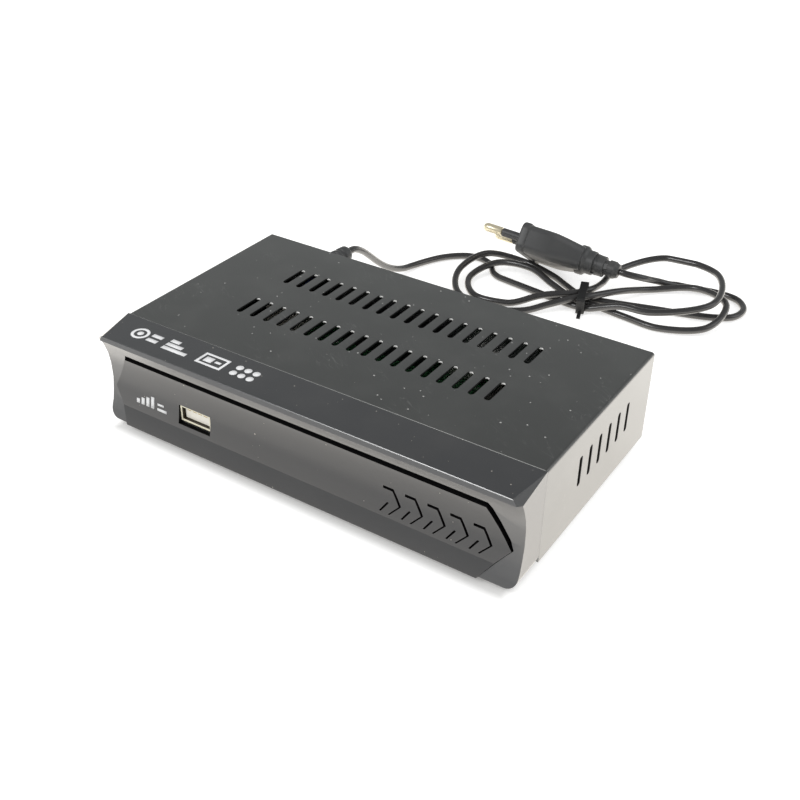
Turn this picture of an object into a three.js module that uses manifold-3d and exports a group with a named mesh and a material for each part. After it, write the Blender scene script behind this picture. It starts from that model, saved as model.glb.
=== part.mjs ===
// A small black terrestrial TV receiver with its mains lead wound into a tied hank.
// Millimetres, +Z up, front towards -Y. The origin is on the floor, at the middle of the case.
import * as THREE from "three";
import { mergeVertices } from "three/addons/utils/BufferGeometryUtils.js";
import { ConvexGeometry } from "three/addons/geometries/ConvexGeometry.js";
import Module from "manifold-3d";

const wasm = await Module();
wasm.setup();

// Driving dimensions of the case
const caseWidth = 167;
const coverDepth = 80.8;
const coverHeight = 35;
const sheet = 0.8;
const bezelReach = 17.2;
const rearReach = 9;
const footDrop = 3.6;

// Clearances: fit between pieces side by side, rest between faces that carry each other
const fit = 0.3;
const rest = 0.1;
const overrun = 2;

// Counts of sides and steps on round work
const smallSides = 12;
const plugSides = 16;
const roundSides = 20;
const arcSegments = 4;
const wireSteps = 12;
const leadSteps = 26;
const tailSteps = 8;
const lengthDivisions = 1200;

// Top cover and its slots
const coverBend = 1.2;
const slotCount = 18;
const slotPitch = 6;
const slotWidth = 2;
const slotLength = 12;
const slotRowStarts = [22.9, 49.9];
const slotFirstX = -52;
const sideSlotCount = 6;
const sideSlotPitch = 7.25;
const sideSlotWidth = 1.8;
const sideSlotBottom = 13.9;
const sideSlotTop = 25.2;
const sideSlotFirstY = 25;
const earWidth = 12;
const earHeight = 9;

// Front bezel: heights of its face and how far the face lies in front of the seam there
const bezelDrop = 0.8;
const bezelSeamDrop = 0.4;
const bezelWall = 2.2;
const bezelFloor = 1.6;
const lipFace = 2.1;
const lipRound = 0.7;
const faceHeights = [32.2, 28.4, 24.6, 20, 14.2, 9.2, 5.4, 1.9];
const faceReaches = [14.9, 13.2, 11.9, 11.2, 11.1, 11.8, 13, 14.2];
const footReach = 15;
const endCutInset = 2.5;
const endCutDrop = 3.3;
const endCutOversize = 1.5;
const bottomCorner = 3.8;

// Fascia plate: a long six-sided plate, its corners as heights and distances in from the case's sides
const plateTop = 23.7;
const plateTopLeftInset = 9.5;
const plateTopRightInset = 12.3;
const plateMiddleLeftInset = 2.2;
const plateMiddleLeftHeight = 11.6;
const plateMiddleRightInset = 3.5;
const plateMiddleRightHeight = 11.4;
const plateLowLeftInset = 5.6;
const plateLowLeftHeight = 5.8;
const plateLowRightInset = 6.3;
const plateLowRightHeight = 6.5;
const plateBottomLeftInset = 9;
const plateBottomRightInset = 11.6;
const plateThickness = 1.6;
const plateProud = 0.5;
const plateBottomDrop = 0.4;
const pocketFloor = 1.6;
const grooveHeight = 2.7;

// USB socket
const usbX = -44.6;
const usbZ = 10.6;
const usbOpeningWidth = 14.4;
const usbOpeningHeight = 6.9;
const usbShellWidth = 13.6;
const usbShellHeight = 6.2;
const shellWall = 0.5;
const usbRecess = 1.6;
const usbDepth = 14;
const usbLegDepth = 3;
const usbTongueRecess = 2.2;
const tongueWidth = 11;
const tongueThickness = 1.9;

// Chevron slots in the fascia plate
const chevronCount = 5;
const chevronPitch = 8.15;
const chevronX = 33.9;
const chevronBottom = 6.8;
const chevronHeight = 8.6;
const chevronStroke = 0.9;
const chevronReach = 3.1;
const chevronLead = 3.3;

// Chassis, feet and board
const floorLift = 0.2;
const footRadius = 5.5;
const footTaper = 0.7;
const footInset = 14;
const standoffHeight = 3.5;
const standoffRadius = 3;
const boardSideGap = 4.5;
const boardFront = -3;
const boardRearGap = 4.8;
const boardThickness = 1.6;
const boardHoleInset = 4.5;
const screwHoleRadius = 1.7;
const screwShaftRadius = 1.3;
const screwHeadRadius = 2.8;
const screwHeadHeight = 1.8;
const screwLength = 4.5;
const coverScrewDrop = 5;
const coverScrewInset = 9;

// Blocks on the board: middle as shares of the board's width and depth, size as width, depth, height
const blockPlaceShares = {
  mains_connector: [0.12, 0.81],
  bridge_rectifier: [0.225, 0.52],
  pwm_controller_chip: [0.235, 0.72],
  ram_chip: [0.46, 0.47],
  flash_chip: [0.59, 0.75],
  crystal_oscillator: [0.69, 0.2],
  soc_chip: [0.59, 0.47],
};
const blockSizes = {
  mains_connector: [14, 10, 11],
  bridge_rectifier: [15, 4, 10],
  pwm_controller_chip: [9.5, 6.5, 3.4],
  ram_chip: [9, 13, 1.2],
  flash_chip: [8, 6, 1.6],
  crystal_oscillator: [4.6, 11, 3.4],
  soc_chip: [17, 17, 1.8],
};

// Heat sink on the processor
const sinkBase = 2;
const sinkHeight = 9;
const finCount = 5;
const finShare = 0.5;

// Capacitors: middle as shares of the board, then radius and height
const capacitorPlaceShares = {
  bulk_capacitor: [0.095, 0.25],
  output_capacitor_1: [0.36, 0.2],
  output_capacitor_2: [0.36, 0.35],
};
const capacitorSizes = {
  bulk_capacitor: [8, 24],
  output_capacitor_1: [4, 14],
  output_capacitor_2: [4, 14],
};
const capacitorVent = 0.4;

// Mains fuse, choke and transformer, each placed by shares of the board
const fusePlaceShares = [0.12, 0.66];
const fuseRadius = 2.6;
const fuseLength = 20;
const fuseClip = 3;
const fuseLift = 0.8;
const chokePlaceShares = [0.1, 0.48];
const chokeSize = [15, 11, 13];
const chokeCoil = [11, 14, 9];
const transformerPlaceShares = [0.235, 0.26];
const transformerSize = [20, 15, 16];
const transformerCoil = [15, 18, 12];

// Tuner can with its two aerial connectors
const tunerSideGap = 12.5;
const tunerWidth = 34;
const tunerRearGap = 10.8;
const tunerDepth = 42;
const tunerHeight = 13;
const rfSpacing = 18;
const rfRadius = 4.75;
const rfHole = 1.4;
const rfBore = 3.7;
const rfBoreDepth = 9;
const rfPinRadius = 1.15;
const rfCollar = 6;
const rfCollarLength = 4;

// HDMI socket
const hdmiGap = 13.5;
const hdmiWidth = 15;
const hdmiHeight = 5.6;
const hdmiDepth = 11.5;
const hdmiChamfer = 1.4;
const hdmiTongueWidth = 11;
const hdmiTongueThickness = 1;
const hdmiTongueLength = 6.5;

// Audio and video jacks
const jackGap = 7.1;
const jackPitch = 13;
const jackHousingHeight = 13;
const jackHousingDepth = 12;
const jackHousingMargin = 6.4;
const barrelRadius = 4.15;
const barrelBore = 1.6;
const barrelBoreDepth = 8;
const collarRadius = 5.7;
const collarThickness = 1.4;

// Infrared receiver and status lamp behind the groove
const receiverX = 56;
const receiverSize = [6, 4.5, 7];
const legWidth = 0.8;
const lampX = 46;
const lampRadius = 1.5;
const lampLength = 4.6;

// Mains lead: its round section and where it leaves the rear wall
const cordRadius = 1.5;
const cordSides = 8;
const strainX = -60;
const strainZ = 24.6;
const strainNeck = 4.5;
const strainFlange = 6;
const strainFlangeThickness = 1.5;
const strainTip = 3.3;
const strainLength = 21;
const strainRibs = 4;
const strainRibDepth = 0.6;
const wireRadius = 0.9;
const wireSpacing = 4;

// Free route of the lead from the strain relief to the hank, in the part's own frame
const leadPoints = [
  [-60, 70, 27.8], [-60.1, 76, 24.6], [-60.4, 82, 19.9], [-60.7, 88, 14.8],
  [-60.7, 94.5, 9.8], [-60.4, 101, 5.9], [-59.9, 108, 3.1], [-59, 115, 1.9],
  [-56.6, 122, 1.7], [-52.8, 129.5, 1.7], [-48.2, 135, 1.7], [-42.7, 138.8, 1.7],
  [-36.8, 139.6, 1.7], [-31, 137.6, 1.7], [-26.3, 134.4, 1.7], [-19.5, 129.2, 1.7],
];

// Hank: five half loops wound as a lying eight. Rows and columns are the cord's places in the tie.
const hankX = 21;
const hankY = 127;
const hankTurn = THREE.MathUtils.degToRad(18.7);
const columnPitch = 4.6;
const rowPitch = 3.7;
const waistReach = 3;
const tieWidth = 3.5;
const tieThickness = 0.5;
const tieStub = 6;
const tieStubWidth = 1.6;
const hankSides = 6;
const stepsPerLoop = 24;
const neighbourRadii = 6;
const leadJoin = [-36, 12.5];

// The passes through the tie: place in columns and rows, and the slant of the cord there
const passes = [
  { column: -1.1, row: 0, slant: -0.15 },
  { column: 0.62, row: 1, slant: 0.85 },
  { column: 0, row: 0, slant: -0.22 },
  { column: -0.62, row: 1, slant: 0.55 },
  { column: 1.15, row: 0, slant: -0.55 },
];

// Each half loop bends round a pin. Levels are heights in rows above the floor: on the way out,
// at even places round the bend, and on the way back.
const halfLoops = [
  { pin: [34, 15], radius: 25, levels: [1.3, 1.35, 1.9, 2.25, 1.9, 1.2, 0.85] },
  { pin: [-36, 6.5], radius: 16, levels: [0.95, 0, 0, 0.2, 0.95, 1.15, 0.6] },
  { pin: [41, 4.8], radius: 19.7, levels: [0, 0, 0.4, 1.12, 0.6, 0.15, 0.9] },
  { pin: [-34, 7.2], radius: 23.7, levels: [0.6, 0.05, 0, 0.1, 0.7, 1.35, 0.35, 0, 0.1] },
  { pin: [57, 14], radius: 11.5, levels: [0, 0, 0, 0, 0, 0, 0] },
];

// The tail's route from the last half loop to the plug, along and across the hank and in height
const tailPoints = [
  [36, 26.9, 2.4], [31, 24.5, 4.2], [26.4, 21.1, 6.4], [22, 17.6, 8.8], [17.7, 15.5, 10.6],
];
const tailJoin = [41, 28.4];

// Flat two-pin plug: its face's middle and how it lies, leaning on the hank
const plugX = -14.9;
const plugY = 143.3;
const plugZ = 14.5;
const plugYaw = THREE.MathUtils.degToRad(4);
const plugPitch = THREE.MathUtils.degToRad(4.65);
const plugRoll = THREE.MathUtils.degToRad(-34.2);
const plugWidth = 35.3;
const plugThickness = 13.7;
const plugLength = 27;
const plugEdge = 0.8;
const plugCornerShare = 0.36;
const plugCornerSteps = 3;
const plugShoulder = 14;
const plugShoulderWidth = 31;
const plugWaist = 15;
const plugWaistThickness = 11;
const plugRib = 2.2;
const plugRibRadius = 6.6;
const plugReliefLength = 17;
const plugReliefRadius = 5.4;
const plugReliefTip = 3.2;
const plugReliefRings = 3;
const plugReliefGroove = 1.1;
const pinSpacing = 18.6;
const pinRadius = 2;
const pinTip = 9;
const pinSleeve = 10;
const pinSleeveRadius = 1.9;
const pinCoreRadius = 1.2;
const pinCoreDepth = 8;
const pinBoreRadius = 1.5;

// Derived places
const halfCase = caseWidth / 2;
const plateTopLeft = halfCase - plateTopLeftInset;
const plateTopRight = halfCase - plateTopRightInset;
const plateMiddleLeft = halfCase - plateMiddleLeftInset;
const plateMiddleRight = halfCase - plateMiddleRightInset;
const plateLowLeft = halfCase - plateLowLeftInset;
const plateLowRight = halfCase - plateLowRightInset;
const plateBottomLeft = halfCase - plateBottomLeftInset;
const plateBottomRight = halfCase - plateBottomRightInset;
const boardWidth = caseWidth - 2 * boardSideGap;
const boardBack = coverDepth - boardRearGap;
const tunerX = halfCase - tunerSideGap - tunerWidth / 2;
const tunerBack = coverDepth - tunerRearGap;
const hdmiX = tunerX - tunerWidth / 2 - hdmiGap - hdmiWidth / 2;
const jackX = hdmiX - hdmiWidth / 2 - jackGap - jackHousingMargin - jackPitch;
const seamY = bezelReach - (bezelReach + coverDepth + rearReach) / 2;
const floorTop = floorLift + sheet;
const boardBottom = floorTop + rest + standoffHeight + rest;
const boardTop = boardBottom + boardThickness;
const wallBack = coverDepth - sheet - fit;
const wallFront = wallBack - sheet;
const connectorTip = coverDepth + rearReach;
const cordFloor = cordRadius + rest;
const rowHeight = (row) => tieThickness + fit + cordRadius + row * rowPitch;

// Looks of the pieces
function look(color, roughness, metalness) {
  return new THREE.MeshStandardMaterial({ color, roughness, metalness });
}
const blackPaint = () => look(0x2e2f2e, 0.5, 0.3);
const blackPlastic = () => look(0x1d1d1e, 0.45, 0);
const blackRubber = () => look(0x19191a, 0.8, 0);
const steel = () => look(0xb9bcc0, 0.35, 1);
const nickel = () => look(0xd0d2d4, 0.25, 1);
const brass = () => look(0xd9b565, 0.3, 1);
const chipBlack = () => look(0x151516, 0.6, 0);

const box = (width, depth, height) => new THREE.BoxGeometry(width, depth, height);

// A geometry as a solid that can be joined and cut
function solidOf(geometry) {
  const bare = geometry.clone();
  bare.deleteAttribute("normal");
  bare.deleteAttribute("uv");
  const merged = mergeVertices(bare, 1e-4);
  return new wasm.Manifold(
    new wasm.Mesh({
      numProp: 3,
      vertProperties: merged.attributes.position.array,
      triVerts: new Uint32Array(merged.index.array),
    }),
  );
}

// A solid as a geometry with flat faces
function geometryOf(solid) {
  const made = solid.getMesh();
  const geometry = new THREE.BufferGeometry();
  geometry.setAttribute("position", new THREE.BufferAttribute(made.vertProperties, 3));
  geometry.setIndex(new THREE.BufferAttribute(made.triVerts, 1));
  const flat = geometry.toNonIndexed();
  flat.computeVertexNormals();
  return flat;
}

const join = (...geometries) => geometries.map(solidOf).reduce((whole, piece) => whole.add(piece));

function meshOf(name, solidOrGeometry, material) {
  const geometry = solidOrGeometry.isBufferGeometry ? solidOrGeometry : geometryOf(solidOrGeometry);
  const mesh = new THREE.Mesh(geometry, material);
  mesh.name = name;
  return mesh;
}

// A box given by its limits
function slab(x0, x1, y0, y1, z0, z1) {
  return box(x1 - x0, y1 - y0, z1 - z0).translate((x0 + x1) / 2, (y0 + y1) / 2, (z0 + z1) / 2);
}

const outline = (points) => new THREE.Shape(points.map(([u, v]) => new THREE.Vector2(u, v)));

// An outline drawn up along Z
function drawnUp(shape, depth) {
  return new THREE.ExtrudeGeometry(shape, { depth, bevelEnabled: false, curveSegments: arcSegments });
}

// A side outline of depths and heights, drawn out along X from one limit to the other
function alongX(points, x0, x1) {
  const basis = new THREE.Matrix4().makeBasis(
    new THREE.Vector3(0, 1, 0),
    new THREE.Vector3(0, 0, 1),
    new THREE.Vector3(1, 0, 0),
  );
  return drawnUp(outline(points), x1 - x0).applyMatrix4(basis).translate(x0, 0, 0);
}

// A front outline of widths and heights, drawn out along Y from one limit to the other
function alongY(shape, y0, y1) {
  const basis = new THREE.Matrix4().makeBasis(
    new THREE.Vector3(1, 0, 0),
    new THREE.Vector3(0, 0, 1),
    new THREE.Vector3(0, -1, 0),
  );
  return drawnUp(shape, y1 - y0).applyMatrix4(basis).translate(0, y1, 0);
}

// A turned piece along Y: pairs of radius and place along the axis
function turned(profile, sides) {
  const points = profile.map(([radius, place]) => new THREE.Vector2(radius, place));
  return new THREE.LatheGeometry(points, sides);
}
const upright = (profile, sides) => turned(profile, sides).rotateX(Math.PI / 2);

// The side outline of a plain cylinder for a lathe, from one place on its axis to another
const rod = (radius, from, to) => [[0, from], [radius, from], [radius, to], [0, to]];

// An outline with round ends, standing or lying, between two limits of its long side
function roundSlot(u, v0, v1, width) {
  const shape = new THREE.Shape();
  const radius = width / 2;
  shape.absarc(u, v1 - radius, radius, 0, Math.PI, false);
  shape.absarc(u, v0 + radius, radius, Math.PI, 2 * Math.PI, false);
  return shape;
}

function makeCover() {
  const inside = halfCase - sheet;
  const section = new THREE.Shape();
  section.moveTo(-halfCase, 0);
  section.lineTo(-inside, 0);
  section.lineTo(-inside, coverHeight - sheet);
  section.lineTo(inside, coverHeight - sheet);
  section.lineTo(inside, 0);
  section.lineTo(halfCase, 0);
  section.lineTo(halfCase, coverHeight - coverBend);
  section.absarc(halfCase - coverBend, coverHeight - coverBend, coverBend, 0, Math.PI / 2, false);
  section.absarc(coverBend - halfCase, coverHeight - coverBend, coverBend, Math.PI / 2, Math.PI, false);
  let cover = solidOf(alongY(section, 0, coverDepth));
  for (const side of [-1, 1]) {
    const ear = slab(-earWidth / 2, earWidth / 2, coverDepth - sheet, coverDepth, -earHeight, 0);
    ear.translate(side * (halfCase - coverScrewInset), 0, coverHeight - sheet / 2);
    const hole = turned(rod(screwHoleRadius, -overrun, overrun), smallSides);
    hole.translate(side * (halfCase - coverScrewInset), coverDepth, coverHeight - coverScrewDrop);
    cover = cover.add(solidOf(ear)).subtract(solidOf(hole));
  }
  for (const start of slotRowStarts) {
    for (let i = 0; i < slotCount; i += 1) {
      const shape = roundSlot(slotFirstX + i * slotPitch, start, start + slotLength, slotWidth);
      const cutter = drawnUp(shape, overrun * 2).translate(0, 0, coverHeight - overrun);
      cover = cover.subtract(solidOf(cutter));
    }
  }
  for (let i = 0; i < sideSlotCount; i += 1) {
    const shape = roundSlot(sideSlotFirstY + i * sideSlotPitch, sideSlotBottom, sideSlotTop, sideSlotWidth);
    const points = shape.getPoints(arcSegments).map((point) => [point.x, point.y]);
    for (const side of [-1, 1]) {
      const middle = side * halfCase;
      cover = cover.subtract(solidOf(alongX(points, middle - overrun, middle + overrun)));
    }
  }
  return meshOf("top_cover", cover, blackPaint());
}

// Side outline of the bezel's face, moved inwards by a distance, from the lip down to the bottom
const faceLine = (inwards) => faceHeights.map((height, i) => [inwards - faceReaches[i], height]);
const footLine = (inwards, drop) => [[inwards - footReach, -drop]];

function makeBezelSolids() {
  const outside = alongX([
    [0, coverHeight], [lipRound - bezelReach, coverHeight], [-bezelReach, coverHeight - lipRound],
    [-bezelReach, coverHeight - lipFace], ...faceLine(0), ...footLine(0, bezelDrop), [0, -bezelSeamDrop],
  ], -halfCase, halfCase);
  const front = new THREE.Shape();
  const cornerX = halfCase - bottomCorner;
  const cornerZ = bottomCorner - bezelDrop;
  front.moveTo(-halfCase, coverHeight + overrun);
  front.lineTo(-halfCase, cornerZ);
  front.absarc(-cornerX, cornerZ, bottomCorner, Math.PI, 1.5 * Math.PI, false);
  front.absarc(cornerX, cornerZ, bottomCorner, -Math.PI / 2, 0, false);
  front.lineTo(halfCase, coverHeight + overrun);
  let bezel = solidOf(outside).intersect(solidOf(alongY(front, -bezelReach - overrun, overrun)));
  const backing = plateThickness - plateProud + fit + pocketFloor;
  const inner = halfCase - bezelWall;
  const hollow = alongX([
    [overrun, coverHeight - bezelWall], [backing - faceReaches[0], coverHeight - bezelWall],
    ...faceLine(backing), ...footLine(backing, bezelDrop - bezelFloor), [overrun, bezelFloor - bezelDrop],
  ], -inner, inner);
  bezel = bezel.subtract(solidOf(hollow));
  for (const side of [-1, 1]) {
    const corner = new THREE.Vector3(side * halfCase, 0, coverHeight);
    const outwards = new THREE.Vector3(side * overrun, 0, overrun);
    const low = new THREE.Vector3(0, -bezelReach, -endCutDrop);
    const inset = new THREE.Vector3(-side * endCutInset, -bezelReach, 0);
    const ahead = new THREE.Vector3(0, -bezelReach, 0);
    const points = [low, inset, ahead].map((step) => step.multiplyScalar(endCutOversize).add(corner));
    ahead.add(outwards);
    points.push(corner, corner.clone().add(outwards));
    bezel = bezel.subtract(solidOf(new ConvexGeometry(points)));
  }
  return bezel;
}

// The part of the bezel's front between two distances inwards from its face
function faceBand(inner, outer, drop) {
  const top = [faceLine(inner)[0], faceLine(outer)[0]];
  return solidOf(alongX([
    [top[1][0], coverHeight], ...faceLine(outer), ...footLine(outer, drop),
    ...footLine(inner, drop), ...faceLine(inner).reverse(), [top[0][0], coverHeight],
  ].reverse(), -halfCase, halfCase));
}

// The six-sided plate in front view, grown by a margin, or with the groove over its top and right
function plateOutline(margin, groove, bottom) {
  const rise = groove ? grooveHeight : margin;
  const tuck = margin + (groove ? grooveHeight : 0) * (plateTopRight / plateMiddleRight);
  return outline([
    [-plateTopLeft - margin, plateTop + rise], [-plateMiddleLeft - margin, plateMiddleLeftHeight],
    [-plateLowLeft - margin, plateLowLeftHeight], [-plateBottomLeft - margin, -bottom],
    [plateBottomRight + margin, -bottom], [plateLowRight + margin, plateLowRightHeight],
    [plateMiddleRight + margin, plateMiddleRightHeight], [plateTopRight + tuck, plateTop + rise],
  ]);
}

function makeFront(group) {
  const back = overrun;
  const front = -bezelReach - overrun;
  const usbHole = (margin) => {
    const width = usbOpeningWidth / 2 + margin;
    const height = usbOpeningHeight / 2 + margin;
    return solidOf(slab(usbX - width, usbX + width, front, back, usbZ - height, usbZ + height));
  };
  const pocketDepth = plateThickness - plateProud + fit;
  const pocket = faceBand(pocketDepth, -overrun, bezelDrop + overrun)
    .intersect(solidOf(alongY(plateOutline(fit, true, bezelDrop + overrun), front, back)));
  const grooveCut = outline([
    [-plateTopLeft, plateTop + fit], [plateTopRight, plateTop + fit],
    [plateMiddleRight - fit, plateMiddleRightHeight + grooveHeight],
    [plateTopRight + grooveHeight, plateTop + grooveHeight - fit],
    [-plateTopLeft, plateTop + grooveHeight - fit],
  ]);
  const grooveBack = plateThickness + pocketFloor + overrun - Math.min(...faceReaches);
  const grooveDepth = faceBand(bezelReach / 2, -overrun, bezelDrop)
    .intersect(solidOf(alongY(grooveCut, front, grooveBack)));
  const bezel = makeBezelSolids().subtract(pocket).subtract(grooveDepth).subtract(usbHole(fit));
  group.add(meshOf("front_bezel", bezel, blackPlastic()));

  let plate = faceBand(plateThickness - plateProud, -plateProud, bezelDrop + plateBottomDrop)
    .intersect(solidOf(alongY(plateOutline(0, false, bezelDrop + overrun), front, back)))
    .subtract(usbHole(0));
  for (let i = 0; i < chevronCount; i += 1) {
    const x = chevronX + i * chevronPitch;
    const middle = chevronBottom + chevronHeight / 2;
    const top = chevronBottom + chevronHeight;
    const strokes = outline([
      [x, top], [x, top - chevronStroke], [x + chevronLead - chevronStroke / 2, top - chevronStroke],
      [x + chevronLead + chevronReach - chevronStroke, middle],
      [x + chevronLead - chevronStroke, chevronBottom], [x + chevronLead, chevronBottom],
      [x + chevronLead + chevronReach, middle], [x + chevronLead, top],
    ]);
    plate = plate.subtract(solidOf(alongY(strokes, front, back)));
  }
  group.add(meshOf("fascia_plate", plate, look(0x2b2b2d, 0.4, 0)));
}

// A socket's metal shell: a tube along Y, closed at its back, with its mouth towards the front or rear
function socketShell(shape, wall, y0, y1, mouthAtFront) {
  const inner = shape(wall);
  const keep = mouthAtFront ? [y0 - overrun, y1 - wall] : [y0 + wall, y1 + overrun];
  return solidOf(alongY(shape(0), y0, y1)).subtract(solidOf(alongY(inner, ...keep)));
}

function rectangle(width, height, x, z) {
  return (wall) => {
    const u = width / 2 - wall;
    const v = height / 2 - wall;
    return outline([[x - u, z - v], [x + u, z - v], [x + u, z + v], [x - u, z + v]]);
  };
}

function faceReachAt(height) {
  const i = faceHeights.findIndex((level) => level <= height);
  const share = (height - faceHeights[i]) / (faceHeights[i - 1] - faceHeights[i]);
  return faceReaches[i] + share * (faceReaches[i - 1] - faceReaches[i]);
}

function makeUsb(group) {
  const mouth = usbRecess - faceReachAt(usbZ) - plateProud;
  const back = mouth + usbDepth;
  const shape = rectangle(usbShellWidth, usbShellHeight, usbX, usbZ);
  let shell = socketShell(shape, shellWall, mouth, back, true);
  for (const side of [-1, 1]) {
    const x = usbX + side * (usbShellWidth - shellWall) / 2;
    const leg = box(shellWall, usbLegDepth, usbZ - boardTop - rest);
    leg.translate(x, 0, (usbZ + boardTop + rest) / 2);
    shell = shell.add(solidOf(leg));
  }
  group.add(meshOf("usb_shell", shell, nickel()));
  const tip = mouth + usbTongueRecess;
  const end = back - shellWall - fit;
  const inner = usbShellWidth / 2 - shellWall - fit;
  const tall = usbShellHeight / 2 - shellWall - fit;
  const tongue = join(
    slab(usbX - tongueWidth / 2, usbX + tongueWidth / 2, tip, end, usbZ, usbZ + tongueThickness),
    slab(usbX - inner, usbX + inner, end - usbTongueRecess, end, usbZ - tall, usbZ + tall),
  );
  group.add(meshOf("usb_tongue", tongue, look(0xe6e1d4, 0.5, 0)));
}

const boardX = (share) => (share - 0.5) * boardWidth;
const boardY = (share) => boardFront + share * (boardBack - boardFront);
const boardHoles = [];
for (const x of [-1, 1]) {
  for (const y of [boardFront + boardHoleInset, boardBack - boardHoleInset]) {
    boardHoles.push([x * (boardWidth / 2 - boardHoleInset), y]);
  }
}

function makeChassis(group) {
  const inside = halfCase - sheet - fit;
  const sideLine = [
    [fit, floorLift], [wallBack, floorLift], [wallBack, coverHeight - sheet - fit],
    [wallFront, coverHeight - sheet - fit], [wallFront, floorTop], [fit, floorTop],
  ];
  let chassis = solidOf(alongX(sideLine, -inside, inside));
  const drill = (x, z, radius, sides) => {
    const cutter = turned(rod(radius, wallFront - overrun, wallBack + overrun), sides);
    chassis = chassis.subtract(solidOf(cutter.translate(x, 0, z)));
  };
  const cutWall = (x, z, width, height) => {
    const cutter = box(width, 2 * overrun, height).translate(x, wallBack, z);
    chassis = chassis.subtract(solidOf(cutter));
  };
  for (const side of [-1, 1]) {
    drill(side * (halfCase - coverScrewInset), coverHeight - coverScrewDrop, screwHoleRadius, smallSides);
    drill(tunerX + side * rfSpacing / 2, boardTop + tunerHeight / 2, rfRadius + fit, roundSides);
  }
  drill(strainX, strainZ, strainNeck + fit, roundSides);
  for (let i = -1; i <= 1; i += 1) {
    drill(jackX + i * jackPitch, boardTop + jackHousingHeight / 2, barrelRadius + fit, roundSides);
  }
  cutWall(hdmiX, boardTop + rest + hdmiHeight / 2, hdmiWidth + 2 * fit, hdmiHeight + 2 * fit);
  group.add(meshOf("bottom_chassis", chassis, look(0x9a9c9e, 0.45, 0.9)));
}

// A screw pointing down its own axis, with its head's underside at the origin
function screwProfile(length) {
  return [
    [0, -length], [screwShaftRadius, -length], [screwShaftRadius, 0], [screwHeadRadius, 0],
    [screwHeadRadius, screwHeadHeight / 2], [screwHeadRadius / 2, screwHeadHeight], [0, screwHeadHeight],
  ];
}

function makeFixings(group) {
  for (const side of [-1, 1]) {
    const name = side < 0 ? "cover_screw_left" : "cover_screw_right";
    const screw = turned(screwProfile(screwLength), smallSides);
    const place = [side * (halfCase - coverScrewInset), coverDepth + rest, coverHeight - coverScrewDrop];
    group.add(meshOf(name, screw.translate(...place), steel()));
  }
  boardHoles.forEach(([x, y], i) => {
    const standoff = upright([
      [screwHoleRadius, 0], [standoffRadius, 0], [standoffRadius, standoffHeight],
      [screwHoleRadius, standoffHeight], [screwHoleRadius, 0],
    ], smallSides);
    group.add(meshOf(`standoff_${i + 1}`, standoff.translate(x, y, floorTop + rest), nickel()));
    const screw = upright(screwProfile(screwLength), smallSides);
    group.add(meshOf(`pcb_screw_${i + 1}`, screw.translate(x, y, boardTop + rest), steel()));
  });
  const footHeight = footDrop + floorLift - rest;
  for (const [name, x, y] of [
    ["foot_front_left", -1, 0], ["foot_front_right", 1, 0],
    ["foot_rear_left", -1, 1], ["foot_rear_right", 1, 1],
  ]) {
    const foot = upright([
      [0, 0], [footRadius - footTaper, 0], [footRadius, footTaper],
      [footRadius, footHeight], [0, footHeight],
    ], roundSides);
    const depth = footInset + y * (coverDepth - 2 * footInset);
    group.add(meshOf(name, foot.translate(x * (halfCase - footInset), depth, -footDrop), blackRubber()));
  }
}

// A block standing on the board, its middle given by shares of the board
function boardBlock(places, sizes, lift = 0) {
  const height = sizes[2];
  return box(...sizes).translate(boardX(places[0]), boardY(places[1]), boardTop + rest + lift + height / 2);
}

function makeBoard(group) {
  let board = solidOf(slab(-boardWidth / 2, boardWidth / 2, boardFront, boardBack, boardBottom, boardTop));
  for (const [x, y] of boardHoles) {
    const hole = upright(rod(screwHoleRadius, boardBottom - overrun, boardTop + overrun), smallSides);
    board = board.subtract(solidOf(hole.translate(x, y, 0)));
  }
  group.add(meshOf("main_pcb", board, look(0x1d5b33, 0.5, 0)));
  const colors = { mains_connector: 0xd8d5cc, crystal_oscillator: 0xc4c6c8 };
  for (const [name, places] of Object.entries(blockPlaceShares)) {
    group.add(meshOf(name, boardBlock(places, blockSizes[name]), look(colors[name] ?? 0x171718, 0.55, 0)));
  }
  for (const [name, places] of Object.entries(capacitorPlaceShares)) {
    const [radius, height] = capacitorSizes[name];
    const can = upright([
      [0, 0], [radius - capacitorVent, 0], [radius, capacitorVent], [radius, height - capacitorVent],
      [radius - capacitorVent, height], [0, height],
    ], roundSides);
    can.translate(boardX(places[0]), boardY(places[1]), boardTop + rest);
    group.add(meshOf(name, can, look(0x23262c, 0.4, 0.1)));
  }
  makeHeatSink(group);
  makeMainsParts(group);
}

function makeHeatSink(group) {
  const [width, depth, height] = blockSizes.soc_chip;
  const bottom = boardTop + rest + height + rest;
  const x = boardX(blockPlaceShares.soc_chip[0]);
  const y = boardY(blockPlaceShares.soc_chip[1]);
  let sink = solidOf(box(width, depth, sinkHeight).translate(x, y, bottom + sinkHeight / 2));
  const pitch = width / (finCount - 1 + finShare);
  for (let i = 0; i < finCount - 1; i += 1) {
    const left = x - width / 2 + (i + finShare) * pitch;
    const right = left + pitch * (1 - finShare);
    const gap = slab(left, right, y - depth, y + depth, bottom + sinkBase, bottom + sinkHeight + overrun);
    sink = sink.subtract(solidOf(gap));
  }
  group.add(meshOf("heat_sink", sink, look(0xb8bbbf, 0.4, 1)));
}

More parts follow.
